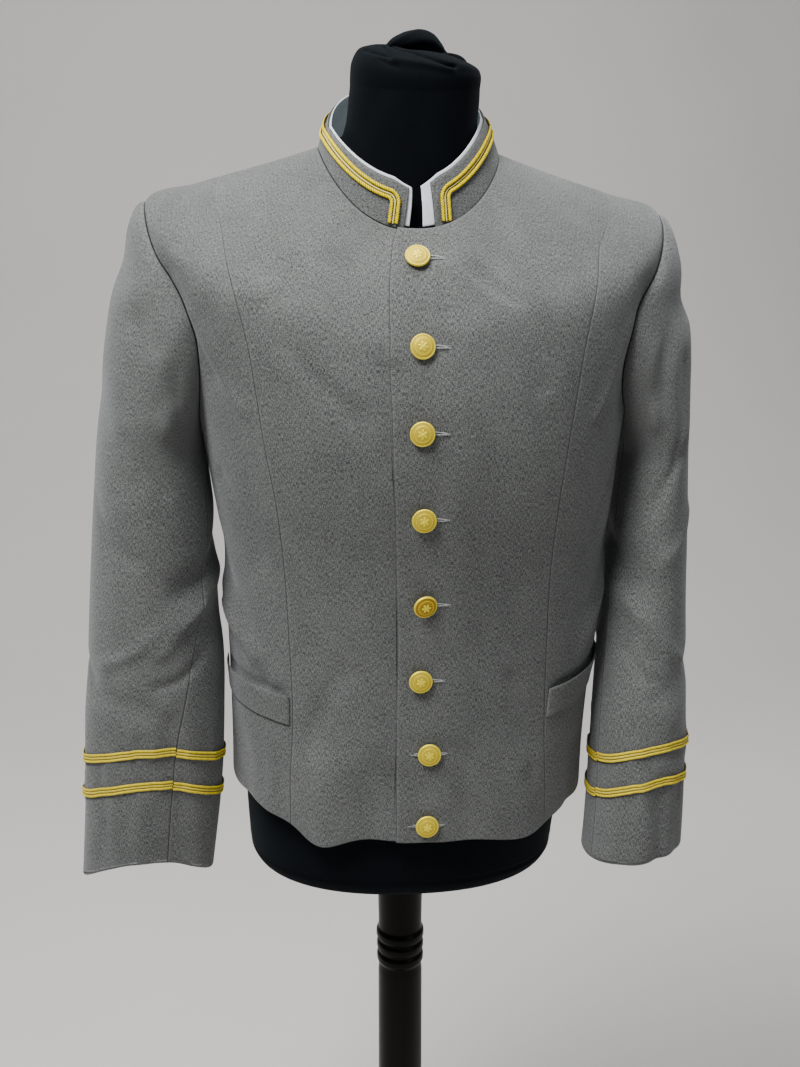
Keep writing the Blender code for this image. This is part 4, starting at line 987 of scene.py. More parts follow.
@dataclass
class MeshParts:
    """Points, faces and the vectors held at the points, gathered for one mesh."""

    points: list[Array] = field(default_factory=list)
    faces: list[Array] = field(default_factory=list)
    marks: dict[str, list[Array]] = field(default_factory=dict)
    count: int = 0

    def add(self, points: Array, faces: Array, **marks: Array) -> None:
        """Add a patch of points and its faces.

        Args:
            points: Points in millimetres, one a row.
            faces: Faces with four corners each, numbered from this patch's first point.
            marks: Vectors for the points, by attribute name.
        """
        self.points.append(points.reshape(-1, 3))
        self.faces.append(np.asarray(faces) + self.count)
        for name, values in marks.items():
            self.marks.setdefault(name, []).append(values.reshape(-1, 3))
        self.count += len(self.points[-1])

    def made(self, name: str, material: Any, slot: str, node: str | None = None,
             lean: bool = True) -> Any:
        """Return the object of all patches.

        Args:
            name: The object's name.
            material: Its material.
            slot: Not used.
            node: The solid that it replaces, where there is one.
            lean: Whether it tips with the form.

        Returns:
            The new object, riding on the part's only body.
        """
        points = np.concatenate(self.points)
        ways = self.marks.pop("facing", None)
        if ways:
            ways = leaned(points + np.concatenate(ways)) - leaned(points)
        points = (leaned(points) if lean else points) * MM
        faces = np.concatenate(self.faces)
        mesh = bpy.data.meshes.new(name)
        mesh.vertices.add(len(points))
        mesh.vertices.foreach_set("co", points.astype(np.float32).ravel())
        mesh.loops.add(faces.size)
        mesh.loops.foreach_set("vertex_index", faces.astype(np.int32).ravel())
        mesh.polygons.add(len(faces))
        mesh.polygons.foreach_set("loop_start", np.arange(0, faces.size, 4, dtype=np.int32))
        mesh.update(calc_edges=True)
        mesh.validate()
        for key, values in self.marks.items():
            layer = mesh.attributes.new(key, "FLOAT_VECTOR", "POINT")
            layer.data.foreach_set("vector", np.concatenate(values).astype(np.float32).ravel())
        mesh.shade_smooth()
        if ways is not None:
            mesh.normals_split_custom_set_from_vertices(ways.tolist())
        mesh.materials.append(material)
        thing = placed(name, mesh)
        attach(thing, "root")
        if node:
            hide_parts(node)
        LOG.info("%s: %d points", name, self.count)
        return thing


def grid_faces(rows: int, columns: int, closed: bool = False, flip: bool = False) -> Array:
    """Return the faces of a grid of points.

    Args:
        rows: Rows of points.
        columns: Columns of points.
        closed: Whether the last column joins the first.
        flip: Whether the faces look the other way.

    Returns:
        Four point numbers for each face.
    """
    i = np.arange(rows - 1)[:, None] * columns
    j = np.arange(columns if closed else columns - 1)[None, :]
    k = (j + 1) % columns
    faces = vectors(i + j, i + k, i + columns + k, i + columns + j).reshape(-1, 4)
    return faces[:, ::-1] if flip else faces


def tube_faces(rows: int, columns: int, flip: bool = False) -> Array:
    """Return the faces of a tube of rings that is closed at both ends."""
    caps = np.array([[0, i, i + 1, i + 2] for i in range(1, columns - 2, 2)])
    first, last = (caps, caps[:, ::-1]) if flip else (caps[:, ::-1], caps)
    side = grid_faces(rows, columns, closed=True, flip=flip)
    return np.concatenate((side, first, last + (rows - 1) * columns))


def border(rows: int, columns: int) -> Array:
    """Return the point numbers round a grid's border, once round."""
    low = np.arange(columns)
    right = np.arange(1, rows) * columns + columns - 1
    high = (rows - 1) * columns + np.arange(columns - 2, -1, -1)
    left = np.arange(rows - 2, 0, -1) * columns
    return np.concatenate((low, right, high, left))


@dataclass
class SewnPiece:
    """One cut piece of cloth: a wall on its surface with softly turned edges."""

    name: str
    base: Array             # rows x columns x 3, points of the outer face
    normal: Array
    wall: float = WALL
    turn: float = 2.4       # how far in from its edge the cloth starts to round away
    facing: int = 1         # +1 where columns run anticlockwise seen from above
    grain_shift: float = 0.0
    threads: Array | None = None     # rows x columns x 2, where the piece is cut from its cloth
    ways: Array | None = None        # rows x columns x 3, the ways its folded face looks
    painted_shade_distance: Array | None = None      # rows x columns, distance to the painted shade that darkens the cloth

    def edge_distance(self) -> Array:
        """Return how far each point lies from the piece's nearest edge."""
        across, up = steps_along(self.base, 1), steps_along(self.base, 0)
        return np.minimum.reduce([across, across[:, -1:] - across, up, up[-1:, :] - up])

    def grain(self, distance: Array) -> Array:
        """Return the cloth's grain: across, along and the distance to the edge, or to the painted shade
        where the piece has one of its own.
        """
        if self.threads is not None:
            near = np.minimum(distance, EDGE_FAR)[..., None]
            return np.concatenate((self.threads + self.grain_shift, near), axis=-1)
        across, up = steps_along(self.base, 1), steps_along(self.base, 0)
        middle = across[:, across.shape[1] // 2][:, None]
        middle_up = up[:, up.shape[1] // 2][:, None]
        return vectors(across - middle + self.grain_shift, middle_up + 0.37 * self.grain_shift,
                       np.minimum(distance, EDGE_FAR))

    def build(self, material: Any, node: str, rests_on: Sequence[str], held: str = "draped",
              slot: str = "wool_cloth") -> None:
        """Make the piece as an object with a closed wall, and say how large its cut is.

        Args:
            material: Its material.
            node: The solid that it replaces.
            rests_on: Not used.
            held: Not used.
            slot: Passed on to MeshParts.made.
        """
        distance = self.edge_distance()
        part = np.clip(1 - distance / self.turn, 0, 1)
        drop = 0.46 * self.wall * (1 - np.sqrt(np.clip(1 - part ** 2, 0, 1)))
        outer = self.base - self.normal * drop[..., None]
        inner = self.base - self.normal * (self.wall - drop)[..., None]
        rows, columns = distance.shape
        grain = self.grain(distance if self.painted_shade_distance is None else self.painted_shade_distance)
        marks = {"grain": np.concatenate((grain, grain))}
        if self.ways is not None:
            ways = self.ways * (distance > self.turn)[..., None]
            marks["facing"] = np.concatenate((ways, np.zeros_like(ways)))
        parts = MeshParts()
        parts.add(np.concatenate((outer, inner)), self.faces(rows, columns), **marks)
        thing = parts.made(self.name, material, slot, node)
        width, length, area = self.flat_size()
        LOG.info("%s: cut %.0f x %.0f mm", self.name, width / MM, length / MM)

    def faces(self, rows: int, columns: int) -> Array:
        """Return the faces of both sides and of the turned edge between them."""
        flip = self.facing < 0
        outside = grid_faces(rows, columns, flip=flip)
        inside = grid_faces(rows, columns, flip=not flip) + rows * columns
        rim = border(rows, columns)
        ahead = np.roll(rim, -1)
        strip = np.stack([rim, rim + rows * columns, ahead + rows * columns, ahead], axis=-1)
        if flip:
            strip = strip[:, ::-1]
        return np.concatenate((outside, inside, strip))

    def flat_size(self) -> tuple[float, float, float]:
        """Return the cut's width, length and area, in metres."""
        across, up = steps_along(self.base, 1), steps_along(self.base, 0)
        a = self.base[1:, 1:] - self.base[:-1, :-1]
        b = self.base[1:, :-1] - self.base[:-1, 1:]
        area = float(np.linalg.norm(np.cross(a, b), axis=-1).sum()) / 2
        return float(across[:, -1].max()) * MM, float(up[-1].max()) * MM, area * MM * MM


def between_edges(low: Array, high: Array, width: Array, count: int) -> Array:
    """Return columns between two edges, closer together near them.

    Args:
        low: One edge's parameter on each row.
        high: The other edge's.
        width: The distance between them on each row.
        count: Number of even columns in the middle.

    Returns:
        The parameter on each row and column.
    """
    near = EDGE_STEPS[None, :] * np.minimum(1, width / 24)[:, None] / width[:, None]
    inner = near[:, -1:]
    even = inner + (1 - 2 * inner) * np.linspace(0, 1, count + 2)[None, 1:-1]
    share = np.concatenate((near, even, 1 - near[:, ::-1]), axis=1)
    return low[:, None] + (high - low)[:, None] * share


# ---- jacket body


@dataclass
class JacketBody:
    """The fronts, the side fronts and the backs."""

    cloth: Any
    ring_step: float = 0.062
    front_columns: int = 44
    side_columns: int = 30
    back_columns: int = 44
    dimple_depth: float = 1.1
    mouth_depth: float = 2.2

    def rings(self) -> Array:
        """Return the ring numbers of all panels' points, closer at the hem and the armholes."""
        hem = EDGE_STEPS / HEM_RING
        below = np.arange(hem[-1] + self.ring_step, UNDERARM - 0.03, self.ring_step)
        count = int((SHOULDER_TIP - UNDERARM) / self.ring_step * 1.25)
        turn = np.linspace(0, math.pi, count)
        armhole = UNDERARM + (SHOULDER_TIP - UNDERARM) * (1 - np.cos(turn)) / 2
        above = np.arange(SHOULDER_TIP + self.ring_step, NECK - 0.15, self.ring_step * 1.3)
        neck = NECK - EDGE_STEPS[::-1] / NECK_RING
        tops = [BODY.seam_top(side) for side in Side]
        close = [top - SEAM_END_REACH * np.linspace(0, 1, SEAM_END_ROWS) ** 2 for top in tops]
        even = np.concatenate((hem, below, armhole, above, neck))
        clear = [even[(even < top - SEAM_END_REACH - 0.02) | (even > top + 0.02)] for top in tops]
        rows = np.sort(np.concatenate((np.intersect1d(*clear), *close)))
        kept = [rows[0]]
        for row in rows[1:]:
            if row - kept[-1] > ROW_APART:
                kept.append(row)
            elif row in tops:
                kept[-1] = row
        return np.array(kept)

    def lapped(self, _: Array, points: Array) -> Array:
        """Return how far the left front stands off.

        It is lifted where it lies on the right front. The buttons draw it in, with short ridges
        round each of them.
        """
        start, end = OVERLAP_FADE
        lap = OVERLAP_LIFT * (1 - eased((points[..., 0] - start) / (end - start)))
        pull = np.zeros(points.shape[:-1])
        for x, z in zip(BUTTON_X, BUTTON_Z):
            away = np.hypot(points[..., 0] - x, (points[..., 2] - z) * 1.15)
            pull -= self.dimple_depth * bell(away, 15)
            rays = np.cos(3 * np.arctan2(points[..., 2] - z, points[..., 0] - x) + 0.7 * x)
            pull += 0.35 * rays * bell(away - 21, 9)
        return lap + pull

    def mouth(self, side: Side, theta: Array, points: Array) -> Array:
        """Return how far the cloth sinks just above the pocket's open edge."""
        turn = np.abs(theta)
        low, high = turn.min(axis=1)[:, None], turn.max(axis=1)[:, None]
        part = np.clip((turn - low) / np.maximum(high - low, 1), 0, 1)
        front_z, side_z = WELT_TOP[side.value]
        above = points[..., 2] - (front_z + (side_z - front_z) * part)
        inside = eased(part / 0.12) * eased((1 - part) / 0.15)
        return -self.mouth_depth * inside * bell(above - 1.0, 5.0)

    def panel(self, name: str, s: Array, edges: tuple[Array, Array], columns: int, shift: float,
              lift: Callable[[Array, Array], Array] | None = None) -> SewnPiece:
        """Return one panel from its ring numbers and its two upright edges.

        Args:
            name: The solid's name.
            s: Ring numbers, one a row.
            edges: The lower and the higher angle on each ring.
            columns: Even columns between the edges.
            shift: Moves the grain, so that no two panels show the same threads.
            lift: Extra distance outward, from the panel's angles and plain points.

        Returns:
            The panel.
        """
        low, high = edges
        width = np.maximum((high - low) / BODY.gap_angle((low + high) / 2, s, 1.0), 0.5)
        theta = between_edges(low, high, width, columns)

        def face(turn: float, rise: float) -> tuple[Array, Array]:
            """Return the panel's face, looked up a little aside or higher."""
            at = np.clip(s[:, None] + rise, 0, NECK)
            out = lift(theta, BODY.plain(theta + turn, at)) if lift else 0.0
            return BODY.framed(theta + turn, at, out)

        base, normal = face(0.0, 0.0)
        around = face(0.4, 0.0)[0] - face(-0.4, 0.0)[0]
        upward = face(0.0, 0.02)[0] - face(0.0, -0.02)[0]
        return SewnPiece("cloth_" + name, base, normal, grain_shift=shift,
                         threads=self.threads(theta, s), ways=unit(np.cross(around, upward)))

    @staticmethod
    def threads(theta: Array, s: Array) -> Array:
        """Return how far each point lies round the body from the front, and up from the hem.

        Args:
            theta: Angles, one row for each ring.
            s: Ring numbers.

        Returns:
            Two lengths for each point.
        """
        turn, rings = np.linspace(-180, 180, 361), np.linspace(0, NECK, 261)
        points = BODY.plain(turn[None, :], rings[:, None])
        run, up = steps_along(points, 1), steps_along(points, 0)
        run = run - run[:, 180:181]
        place = np.interp(s, rings, np.arange(len(rings)))
        low = np.minimum(place.astype(int), len(rings) - 2)
        part = (place - low)[:, None]
        made = []
        for values in (run, up):
            level = values[low] * (1 - part) + values[low + 1] * part
            made.append([np.interp(angles, turn, row) for angles, row in zip(theta, level)])
        return np.stack([np.array(values) for values in made], axis=-1)

    def front(self, side: Side, shift: float) -> SewnPiece:
        """Return a front, from its edge to the shaped seam."""
        top, s = BODY.seam_top(side), self.rings()
        seam = np.where(s < top, np.abs(BODY.shaped_seam(side, s)), 90.0)
        seam = seam - BODY.gap_angle(side.value * seam, s, SEAM_GAP / 2)
        edge_x = read(BODY.rows["edge"], s)
        if side is Side.LEFT:
            edges = BODY.angle_at_x(edge_x, s), seam
            return self.panel("front_left", s, edges, self.front_columns, shift, self.lapped)
        edges = -seam, BODY.angle_at_x(UNDERLAP_REACH + edge_x / 2, s)
        piece = self.panel("front_right", s, edges, self.front_columns, shift)
        # Painted shadow: a dark line on the right front just beside the left front's edge, where that
        # edge casts its shade.
        under = np.abs(piece.base[..., 0] - edge_x[:, None] + 0.8)
        piece.painted_shade_distance = np.minimum(piece.edge_distance(), under)
        return piece

    @staticmethod
    def edge(s: Array, front: bool) -> Array:
        """Return the edge angle at the side seam, the armhole and the shoulder seam."""
        edge = np.where((s > UNDERARM) & (s < SHOULDER_TIP), armhole_angle(s, front), 90.0)
        shift = BODY.gap_angle(edge, s, SEAM_GAP / 2)
        return edge - shift if front else edge + shift

    def side_front(self, side: Side, shift: float) -> SewnPiece:
        """Return a side front, from the shaped seam to the armhole and the side seam."""
        top, s = BODY.seam_top(side), self.rings()
        s = s[s < top - 1e-6]
        seam = np.abs(BODY.shaped_seam(side, s))
        seam = seam + BODY.gap_angle(side.value * seam, s, SEAM_GAP / 2)
        edge = self.edge(s, True)
        edges = (seam, edge) if side is Side.LEFT else (-edge, -seam)

        def sunk(theta: Array, points: Array) -> Array:
            """Return the pocket mouth's lift."""
            return self.mouth(side, theta, points)

        return self.panel("side_front_" + side.word, s, edges, self.side_columns, shift, sunk)

    def back(self, side: Side, shift: float) -> SewnPiece:
        """Return a back, from the side seam to the centre-back seam."""
        s = self.rings()
        edge = self.edge(s, False)
        middle = 180 - BODY.gap_angle(np.full(s.shape, 180.0), s, SEAM_GAP / 2)
        edges = (edge, middle) if side is Side.LEFT else (-middle, -edge)
        return self.panel("back_" + side.word, s, edges, self.back_columns, shift)

    def build(self) -> None:
        """Make the six panels."""
        shift = 0.0
        for side in Side:
            for make, name in ((self.front, "front_"), (self.side_front, "side_front_"),
                               (self.back, "back_")):
                shift += 137.0
                piece = make(side, shift)
                piece.build(self.cloth, name + side.word, ["form_torso"])


# ---- sleeves


@dataclass
class Sleeves:
    """The top sleeves and the under sleeves."""

    cloth: Any
    surfaces: dict[Side, SleeveSurface]
    top_columns: int = 56
    under_columns: int = 32
    head_rows: int = 34
    tube_rows: int = 134
    head_roll: float = 1.3      # how far the sleeve stands above the shoulder at its seam

    def rings(self) -> Array:
        """Return the sleeve ring numbers, closer at the armhole and the cuff."""
        head = np.array([0.006, 0.012, 0.02, 0.032, 0.05, 0.075])
        upper = np.linspace(0.1, 1, self.head_rows)
        rows = np.linspace(1, CUFF, self.tube_rows)[1:-1]
        return np.concatenate((head, upper, rows, CUFF - EDGE_STEPS[::-1] / CUFF_RING))

    def roll(self, phi: Array, t: Array) -> Array:
        """Return the lift of the rolled sleeve head over the shoulder."""
        upper = eased((np.cos(np.radians(phi)) + 0.1) / 0.7)
        return self.head_roll * upper * bell(t - 0.09, 0.075)

    def build(self) -> None:
        """Make both pieces of both sleeves."""
        t = self.rings()
        shift = 900.0
        for side, sleeve in self.surfaces.items():
            seam, hind = sleeve.seam("seam", t), sleeve.seam("hind", t)
            spans = {"top": (hind - 360, seam, self.top_columns),
                     "under": (seam, hind, self.under_columns)}
            for part, (low, high, count) in spans.items():
                low = low + sleeve.gap_angle(low, t, SEAM_GAP / 2)
                high = high - sleeve.gap_angle(high, t, SEAM_GAP / 2)
                width = (high - low) / sleeve.gap_angle((low + high) / 2, t, 1.0)
                phi = between_edges(low, high, np.maximum(width, 10), count)
                base, normal = sleeve.framed(phi, t[:, None], self.roll(phi, t[:, None]))
                shift += 171.0
                name = part + "_sleeve_" + side.word
                piece = SewnPiece("cloth_" + name, base, normal, facing=sleeve.sign, grain_shift=shift)
                piece.build(self.cloth, name, ["side_front_" + side.word, "back_" + side.word], "hung")


# ---- collar


@dataclass
class Collar:
    """The stand collar with its white liner."""

    cloth: Any
    liner: Any
    surface: CollarSurface
    columns: int = 130
    rows: int = 12

    def angles(self, v: Array, past_left: float = 0.0, past_right: float = 0.0) -> Array:
        """Return the angles of the collar's points at each height.

        Args:
            v: Heights on the stand.
            past_left: How far the piece reaches past the left end, in millimetres.
            past_right: And past the right end.

        Returns:
            Angles, one row for each height.
        """
        scale = math.degrees(1) / COLLAR_TOP["half"]
        end = self.surface.end_angle
        low = end(COLLAR_END_LEFT + COLLAR_END_SPREAD, False)
        high = end(COLLAR_END_RIGHT - COLLAR_END_SPREAD, False) + 360
        share = np.clip(v, 0, 1)
        lows = low + (end(COLLAR_END_LEFT) - low) * share - past_left * scale
        highs = high + (end(COLLAR_END_RIGHT) + 360 - high) * share + past_right * scale
        return between_edges(lows, highs, np.full(v.shape, 400.0), self.columns)

    def heights(self, low: float, high: float) -> Array:
        """Return heights between two, closer together near both edges."""
        near = EDGE_STEPS / COLLAR_HEIGHT
        middle = np.linspace(low + near[-1], high - near[-1], self.rows)[1:-1]
        return np.concatenate((low + near, middle, high - near[::-1]))

    def build(self) -> None:
        """Make the collar, its liner and the liner's stitching."""
        v = self.heights(-COLLAR_FOOT_GAP / COLLAR_HEIGHT, 1.0)
        theta = self.angles(v)
        base, normal = self.surface.framed(theta, v[:, None])
        collar = SewnPiece("cloth_collar", base, normal, grain_shift=2100.0)
        collar.build(self.cloth, "collar", ["front_left", "back_left"], "stretched")
        depth = WALL + LINER_LAY_GAP
        v = self.heights(LINER_FOOT, 1 + LINER_RISE / COLLAR_HEIGHT)
        theta = self.angles(v, LINER_PAST_LEFT, LINER_PAST_RIGHT)
        base, normal = self.surface.framed(theta, v[:, None], -depth)
        liner = SewnPiece("white_liner", base, normal, wall=LINER_WALL, turn=1.0, grain_shift=40.0)
        liner.build(self.liner, "collar_liner", ["collar"], "stretched", "white_liner")
        self.stitch(depth)

    def stitch(self, depth: float) -> None:
        """Sew the line of stitches near the liner's left end."""
        v = np.linspace(LINER_FOOT + 0.04, 0.98, 200)
        scale = math.degrees(1) / COLLAR_TOP["half"]
        low = self.surface.end_angle(COLLAR_END_LEFT + COLLAR_END_SPREAD, False)
        top = self.surface.end_angle(COLLAR_END_LEFT)
        theta = low + (top - low) * v - 0.45 * LINER_PAST_LEFT * scale
        line, normal = self.surface.framed(theta, v, -depth + 0.1)
        stitched(line, normal, 2.2, 1.5, 0.16).made("liner_stitches", self.liner, "white_liner")


# ---- threads and cords


STITCH_PARTS = 6           # steps from one stitch to the next
THREAD_SIDES = 6
THREAD_GUIDE = np.array([0.3, 0.5, 0.8])     # a way that no thread runs


def tube_patch(parts: MeshParts, line: Array, radius: float) -> None:
    """Add a thin round thread along a line, closed to a point at both ends.

    Args:
        parts: Takes the patch.
        line: The thread's middle line.
        radius: Its radius.
    """
    along = unit(np.gradient(line, axis=0))
    across = unit(np.cross(along, THREAD_GUIDE))
    up = np.cross(across, along)
    turn = circle(THREAD_SIDES)
    radii = np.full(len(line), radius)
    radii[[0, -1]] *= 0.15
    ring_points = (across[:, None] * np.cos(turn)[None, :, None]
                   + up[:, None] * np.sin(turn)[None, :, None])
    points = line[:, None] + ring_points * radii[:, None, None]
    run = steps_along(line, 0)
    values = vectors(run[:, None], turn[None, :] * 0.3, 5.0)
    parts.add(points, tube_faces(len(line), THREAD_SIDES), grain=values)


def stitched(line: Array, normal: Array, pitch: float, length: float, radius: float) -> MeshParts:
    """Return a row of stitches along a line on cloth.

    Args:
        line: Points of the line.
        normal: The cloth's normals there.
        pitch: Distance from one stitch to the next.
        length: Length of a stitch.
        radius: Radius of the thread.

    Returns:
        The stitches' patches.
    """
    even = resampled(np.concatenate((line, normal), axis=1), pitch / STITCH_PARTS)
    parts = MeshParts()
    reach = max(int(round(length / pitch * STITCH_PARTS)), 3)
    arch = np.sin(np.linspace(0, math.pi, reach + 1))
    for start in range(0, len(even) - reach - 1, STITCH_PARTS):
        piece = even[start:start + reach + 1]
        points = piece[:, :3] + piece[:, 3:] * (arch * radius * 1.2 - 0.3 * radius)[:, None]
        tube_patch(parts, points, radius)
    return parts


@dataclass
class Cord:
    """One twisted cord of a braid."""

    offset: float          # across the braid, from its middle
    radius: float
    pale: float            # 0 for the deep gold, 1 for the pale gold
    plies: int = 3
    pitch: float = 6.6     # length of one whole turn of the plies
    step: float = 0.6
    sides: int = 12

    def add_to(self, parts: MeshParts, route: Array, normal: Array, twist: float = 1.0) -> None:
        """Lay the cord along a route on cloth.

        Args:
            parts: Takes the cord.
            route: The braid's middle line, on the cloth.
            normal: The cloth's normals there.
            twist: Way of the twist, +1 or -1.
        """
        along = unit(np.gradient(route, axis=0))
        across = unit(np.cross(along, normal))
        line = route + across * self.offset + normal * self.radius * 0.66
        even = resampled(np.concatenate((line, normal), axis=1), self.step)
        line, normal = even[:, :3], unit(even[:, 3:])
        across = unit(np.cross(unit(np.gradient(line, axis=0)), normal))
        run = steps_along(line, 0)
        turn = circle(self.sides)
        lay = turn[None, :] - twist * FULL_TURN * run[:, None] / self.pitch
        ply = np.abs(np.cos(lay * self.plies / 2))
        radii = self.radius * (0.76 + 0.24 * ply ** 0.7)
        # Painted shade: the crown factor darkens the cord's sides and underside, so only the side
        # facing away from the cloth keeps its full tone.
        crown = 0.15 + 0.85 * np.clip(np.sin(turn), 0, 1)[None, :] ** 0.6
        radii[[0, -1]] *= 0.55
        points = (line[:, None] + across[:, None] * (radii * np.cos(turn))[..., None]
                  + normal[:, None] * (radii * np.sin(turn) * 0.70)[..., None])
        strand = vectors(run[:, None], turn[None, :] * self.radius, ply ** 0.8 * crown)
        pale = np.full(strand.shape, self.pale)
        parts.add(points, tube_faces(len(line), self.sides), strand=strand, pale=pale)


@dataclass
class Braids:
    """The collar braid and the two braid rings of each cuff."""

    gold: Any
    collar: CollarSurface
    sleeves: dict[Side, SleeveSurface]
    lay_gap: float = 0.25
    part_degrees: float = 0.15      # from the front seam to each end of a cuff ring
    collar_points: int = 500
    cuff_points: int = 420
    collar_cords: tuple[Cord, ...] = (Cord(-3.1, 1.9, 0.0), Cord(0.0, 0.85, 1.0, 2, 3.4),
                                      Cord(3.1, 1.9, 0.0))
    cuff_cords: tuple[Cord, ...] = (Cord(-3.05, 1.55, 0.1), Cord(0.0, 1.3, 0.3), Cord(3.05, 1.55, 0.1))

    def collar_route(self) -> Array:
        """Return the middle line on the collar as angles and heights."""
        scale = math.degrees(1) / COLLAR_TOP["half"]
        level = 1 - BRAID_BELOW_EDGE / COLLAR_HEIGHT
        turn = np.linspace(0, math.pi / 2, 12)
        wide, tall = BRAID_CORNER * scale, BRAID_CORNER / COLLAR_HEIGHT
        upright = np.linspace(BRAID_FOOT, level - tall, 16)[:-1]
        height = np.concatenate((upright, level + tall * (np.sin(turn) - 1)))
        inward = np.concatenate((np.zeros(15), wide * (1 - np.cos(turn))))
        left = self.upright(COLLAR_END_LEFT, 1, height) + inward
        right = self.upright(COLLAR_END_RIGHT, -1, height) + 360 - inward
        run = np.linspace(left[-1], right[-1], self.collar_points)[1:-1]
        return np.concatenate((vectors(left, height), vectors(run, level),
                               vectors(right, height)[::-1]))

    def upright(self, end: float, way: int, height: Array) -> Array:
        """Return the angles of an upright run, which keeps its distance from the collar's end.

        Args:
            end: The x of the collar's end at its top edge.
            way: +1 at the left end and -1 at the right.
            height: Heights on the stand.

        Returns:
            The angle at each height.
        """
        top = self.collar.end_angle(end + way * BRAID_FROM_END)
        foot = self.collar.end_angle(end + way * (COLLAR_END_SPREAD + BRAID_FROM_END), False)
        return foot + (top - foot) * height

    def build(self) -> None:
        """Make all five braids."""
        theta, v = self.collar_route().T
        self.lay(self.collar_cords, *self.collar.framed(theta, v, self.lay_gap), "collar_braid")
        for side, sleeve in self.sleeves.items():
            for place, row in CUFF_RINGS.items():
                seam = float(sleeve.seam("seam", np.array(row)))
                phi = np.linspace(seam + self.part_degrees, seam + 360 - self.part_degrees,
                                  self.cuff_points)
                lift = 0.045 * np.exp(-(360 + seam - phi) / 14)
                self.lay(self.cuff_cords, *sleeve.framed(phi, row - lift, self.lay_gap),
                         "cuff_braid_" + side.word + "_" + place)

    def lay(self, cords: Sequence[Cord], route: Array, normal: Array, node: str) -> None:
        """Lay a braid's cords along a route, as one piece that stands for its solid."""
        parts = MeshParts()
        for number, cord in enumerate(cords):
            cord.add_to(parts, route, normal, 1.0 if number % 2 else -1.0)
        parts.made("gold_" + node, self.gold, "gold_braid", node)


# ---- pocket welts


@dataclass
class Welts:
    """The slanted welts of the two side pockets."""

    cloth: Any
    ring: float = 2.0           # the body's ring at the pockets
    wall: float = 1.3
    top_stand: float = 2.1      # how far the open top edge stands off the side front
    foot_stand: float = 0.6
    columns: int = 34
    rows: int = 14

    def build(self) -> None:
        """Make both welts."""
        for side in Side:
            sign = side.value
            s = np.array([self.ring])
            low = np.abs(BODY.shaped_seam(side, s))[0] + WELT_INSET
            high = JacketBody.edge(s, True)[0] - WELT_INSET
            share = np.linspace(0, 1, self.columns)
            front_z, side_z = WELT_TOP[sign]
            down = np.linspace(1, 0, self.rows)
            down = np.sort(np.concatenate((down, [0.012, 0.03, 0.06, 0.94, 0.97, 0.988])))[::-1]
            turn = np.repeat((low + (high - low) * share)[None, :], len(down), axis=0)
            sag = 1.2 * np.sin(np.pi * share) * (1 - down[:, None])
            z = (front_z + (side_z - front_z) * share)[None, :] - WELT_HEIGHT * down[:, None]
            theta = sign * turn
            rings = BODY.at_height(theta, z)
            stand = self.foot_stand + (self.top_stand - self.foot_stand) * eased(
                (1 - down)[:, None] / 0.95) * eased(np.minimum(share, 1 - share) / 0.16)
            out = self.wall + stand + sag
            base, normal = BODY.framed(theta, rings, out)
            piece = SewnPiece("cloth_pocket_welt_" + side.word, base, normal, wall=self.wall,
                              turn=1.6, facing=sign, grain_shift=300.0 * sign + 50)
            # The painted shade at the welt's edges is kept faint: no point counts as nearer than 0.75
            # mm to an edge.
            piece.painted_shade_distance = np.maximum(piece.edge_distance(), 0.75)
            piece.build(self.cloth, "pocket_welt_" + side.word, ["side_front_" + side.word],
                        "stretched")


# ---- buttons


def front_place(x: float, z: float, out: float) -> tuple[Array, Array]:
    """Return a point on the left front above the plain surface, and the way it faces."""
    s_all = np.linspace(0, NECK, SAMPLES)
    theta_all = BODY.angle_at_x(np.full(s_all.shape, x), s_all)
    s = float(np.interp(z, BODY.plain(theta_all, s_all)[:, 2], s_all))
    theta = float(BODY.angle_at_x(x, s))
    near = [BODY.framed(theta + a, s + b)[0] for a, b in ((-3, 0), (3, 0), (0, -0.15), (0, 0.15))]
    facing = unit(np.cross(near[1] - near[0], near[3] - near[2]))
    point = BODY.framed(theta, s, OVERLAP_LIFT + out)[0]
    return point, facing


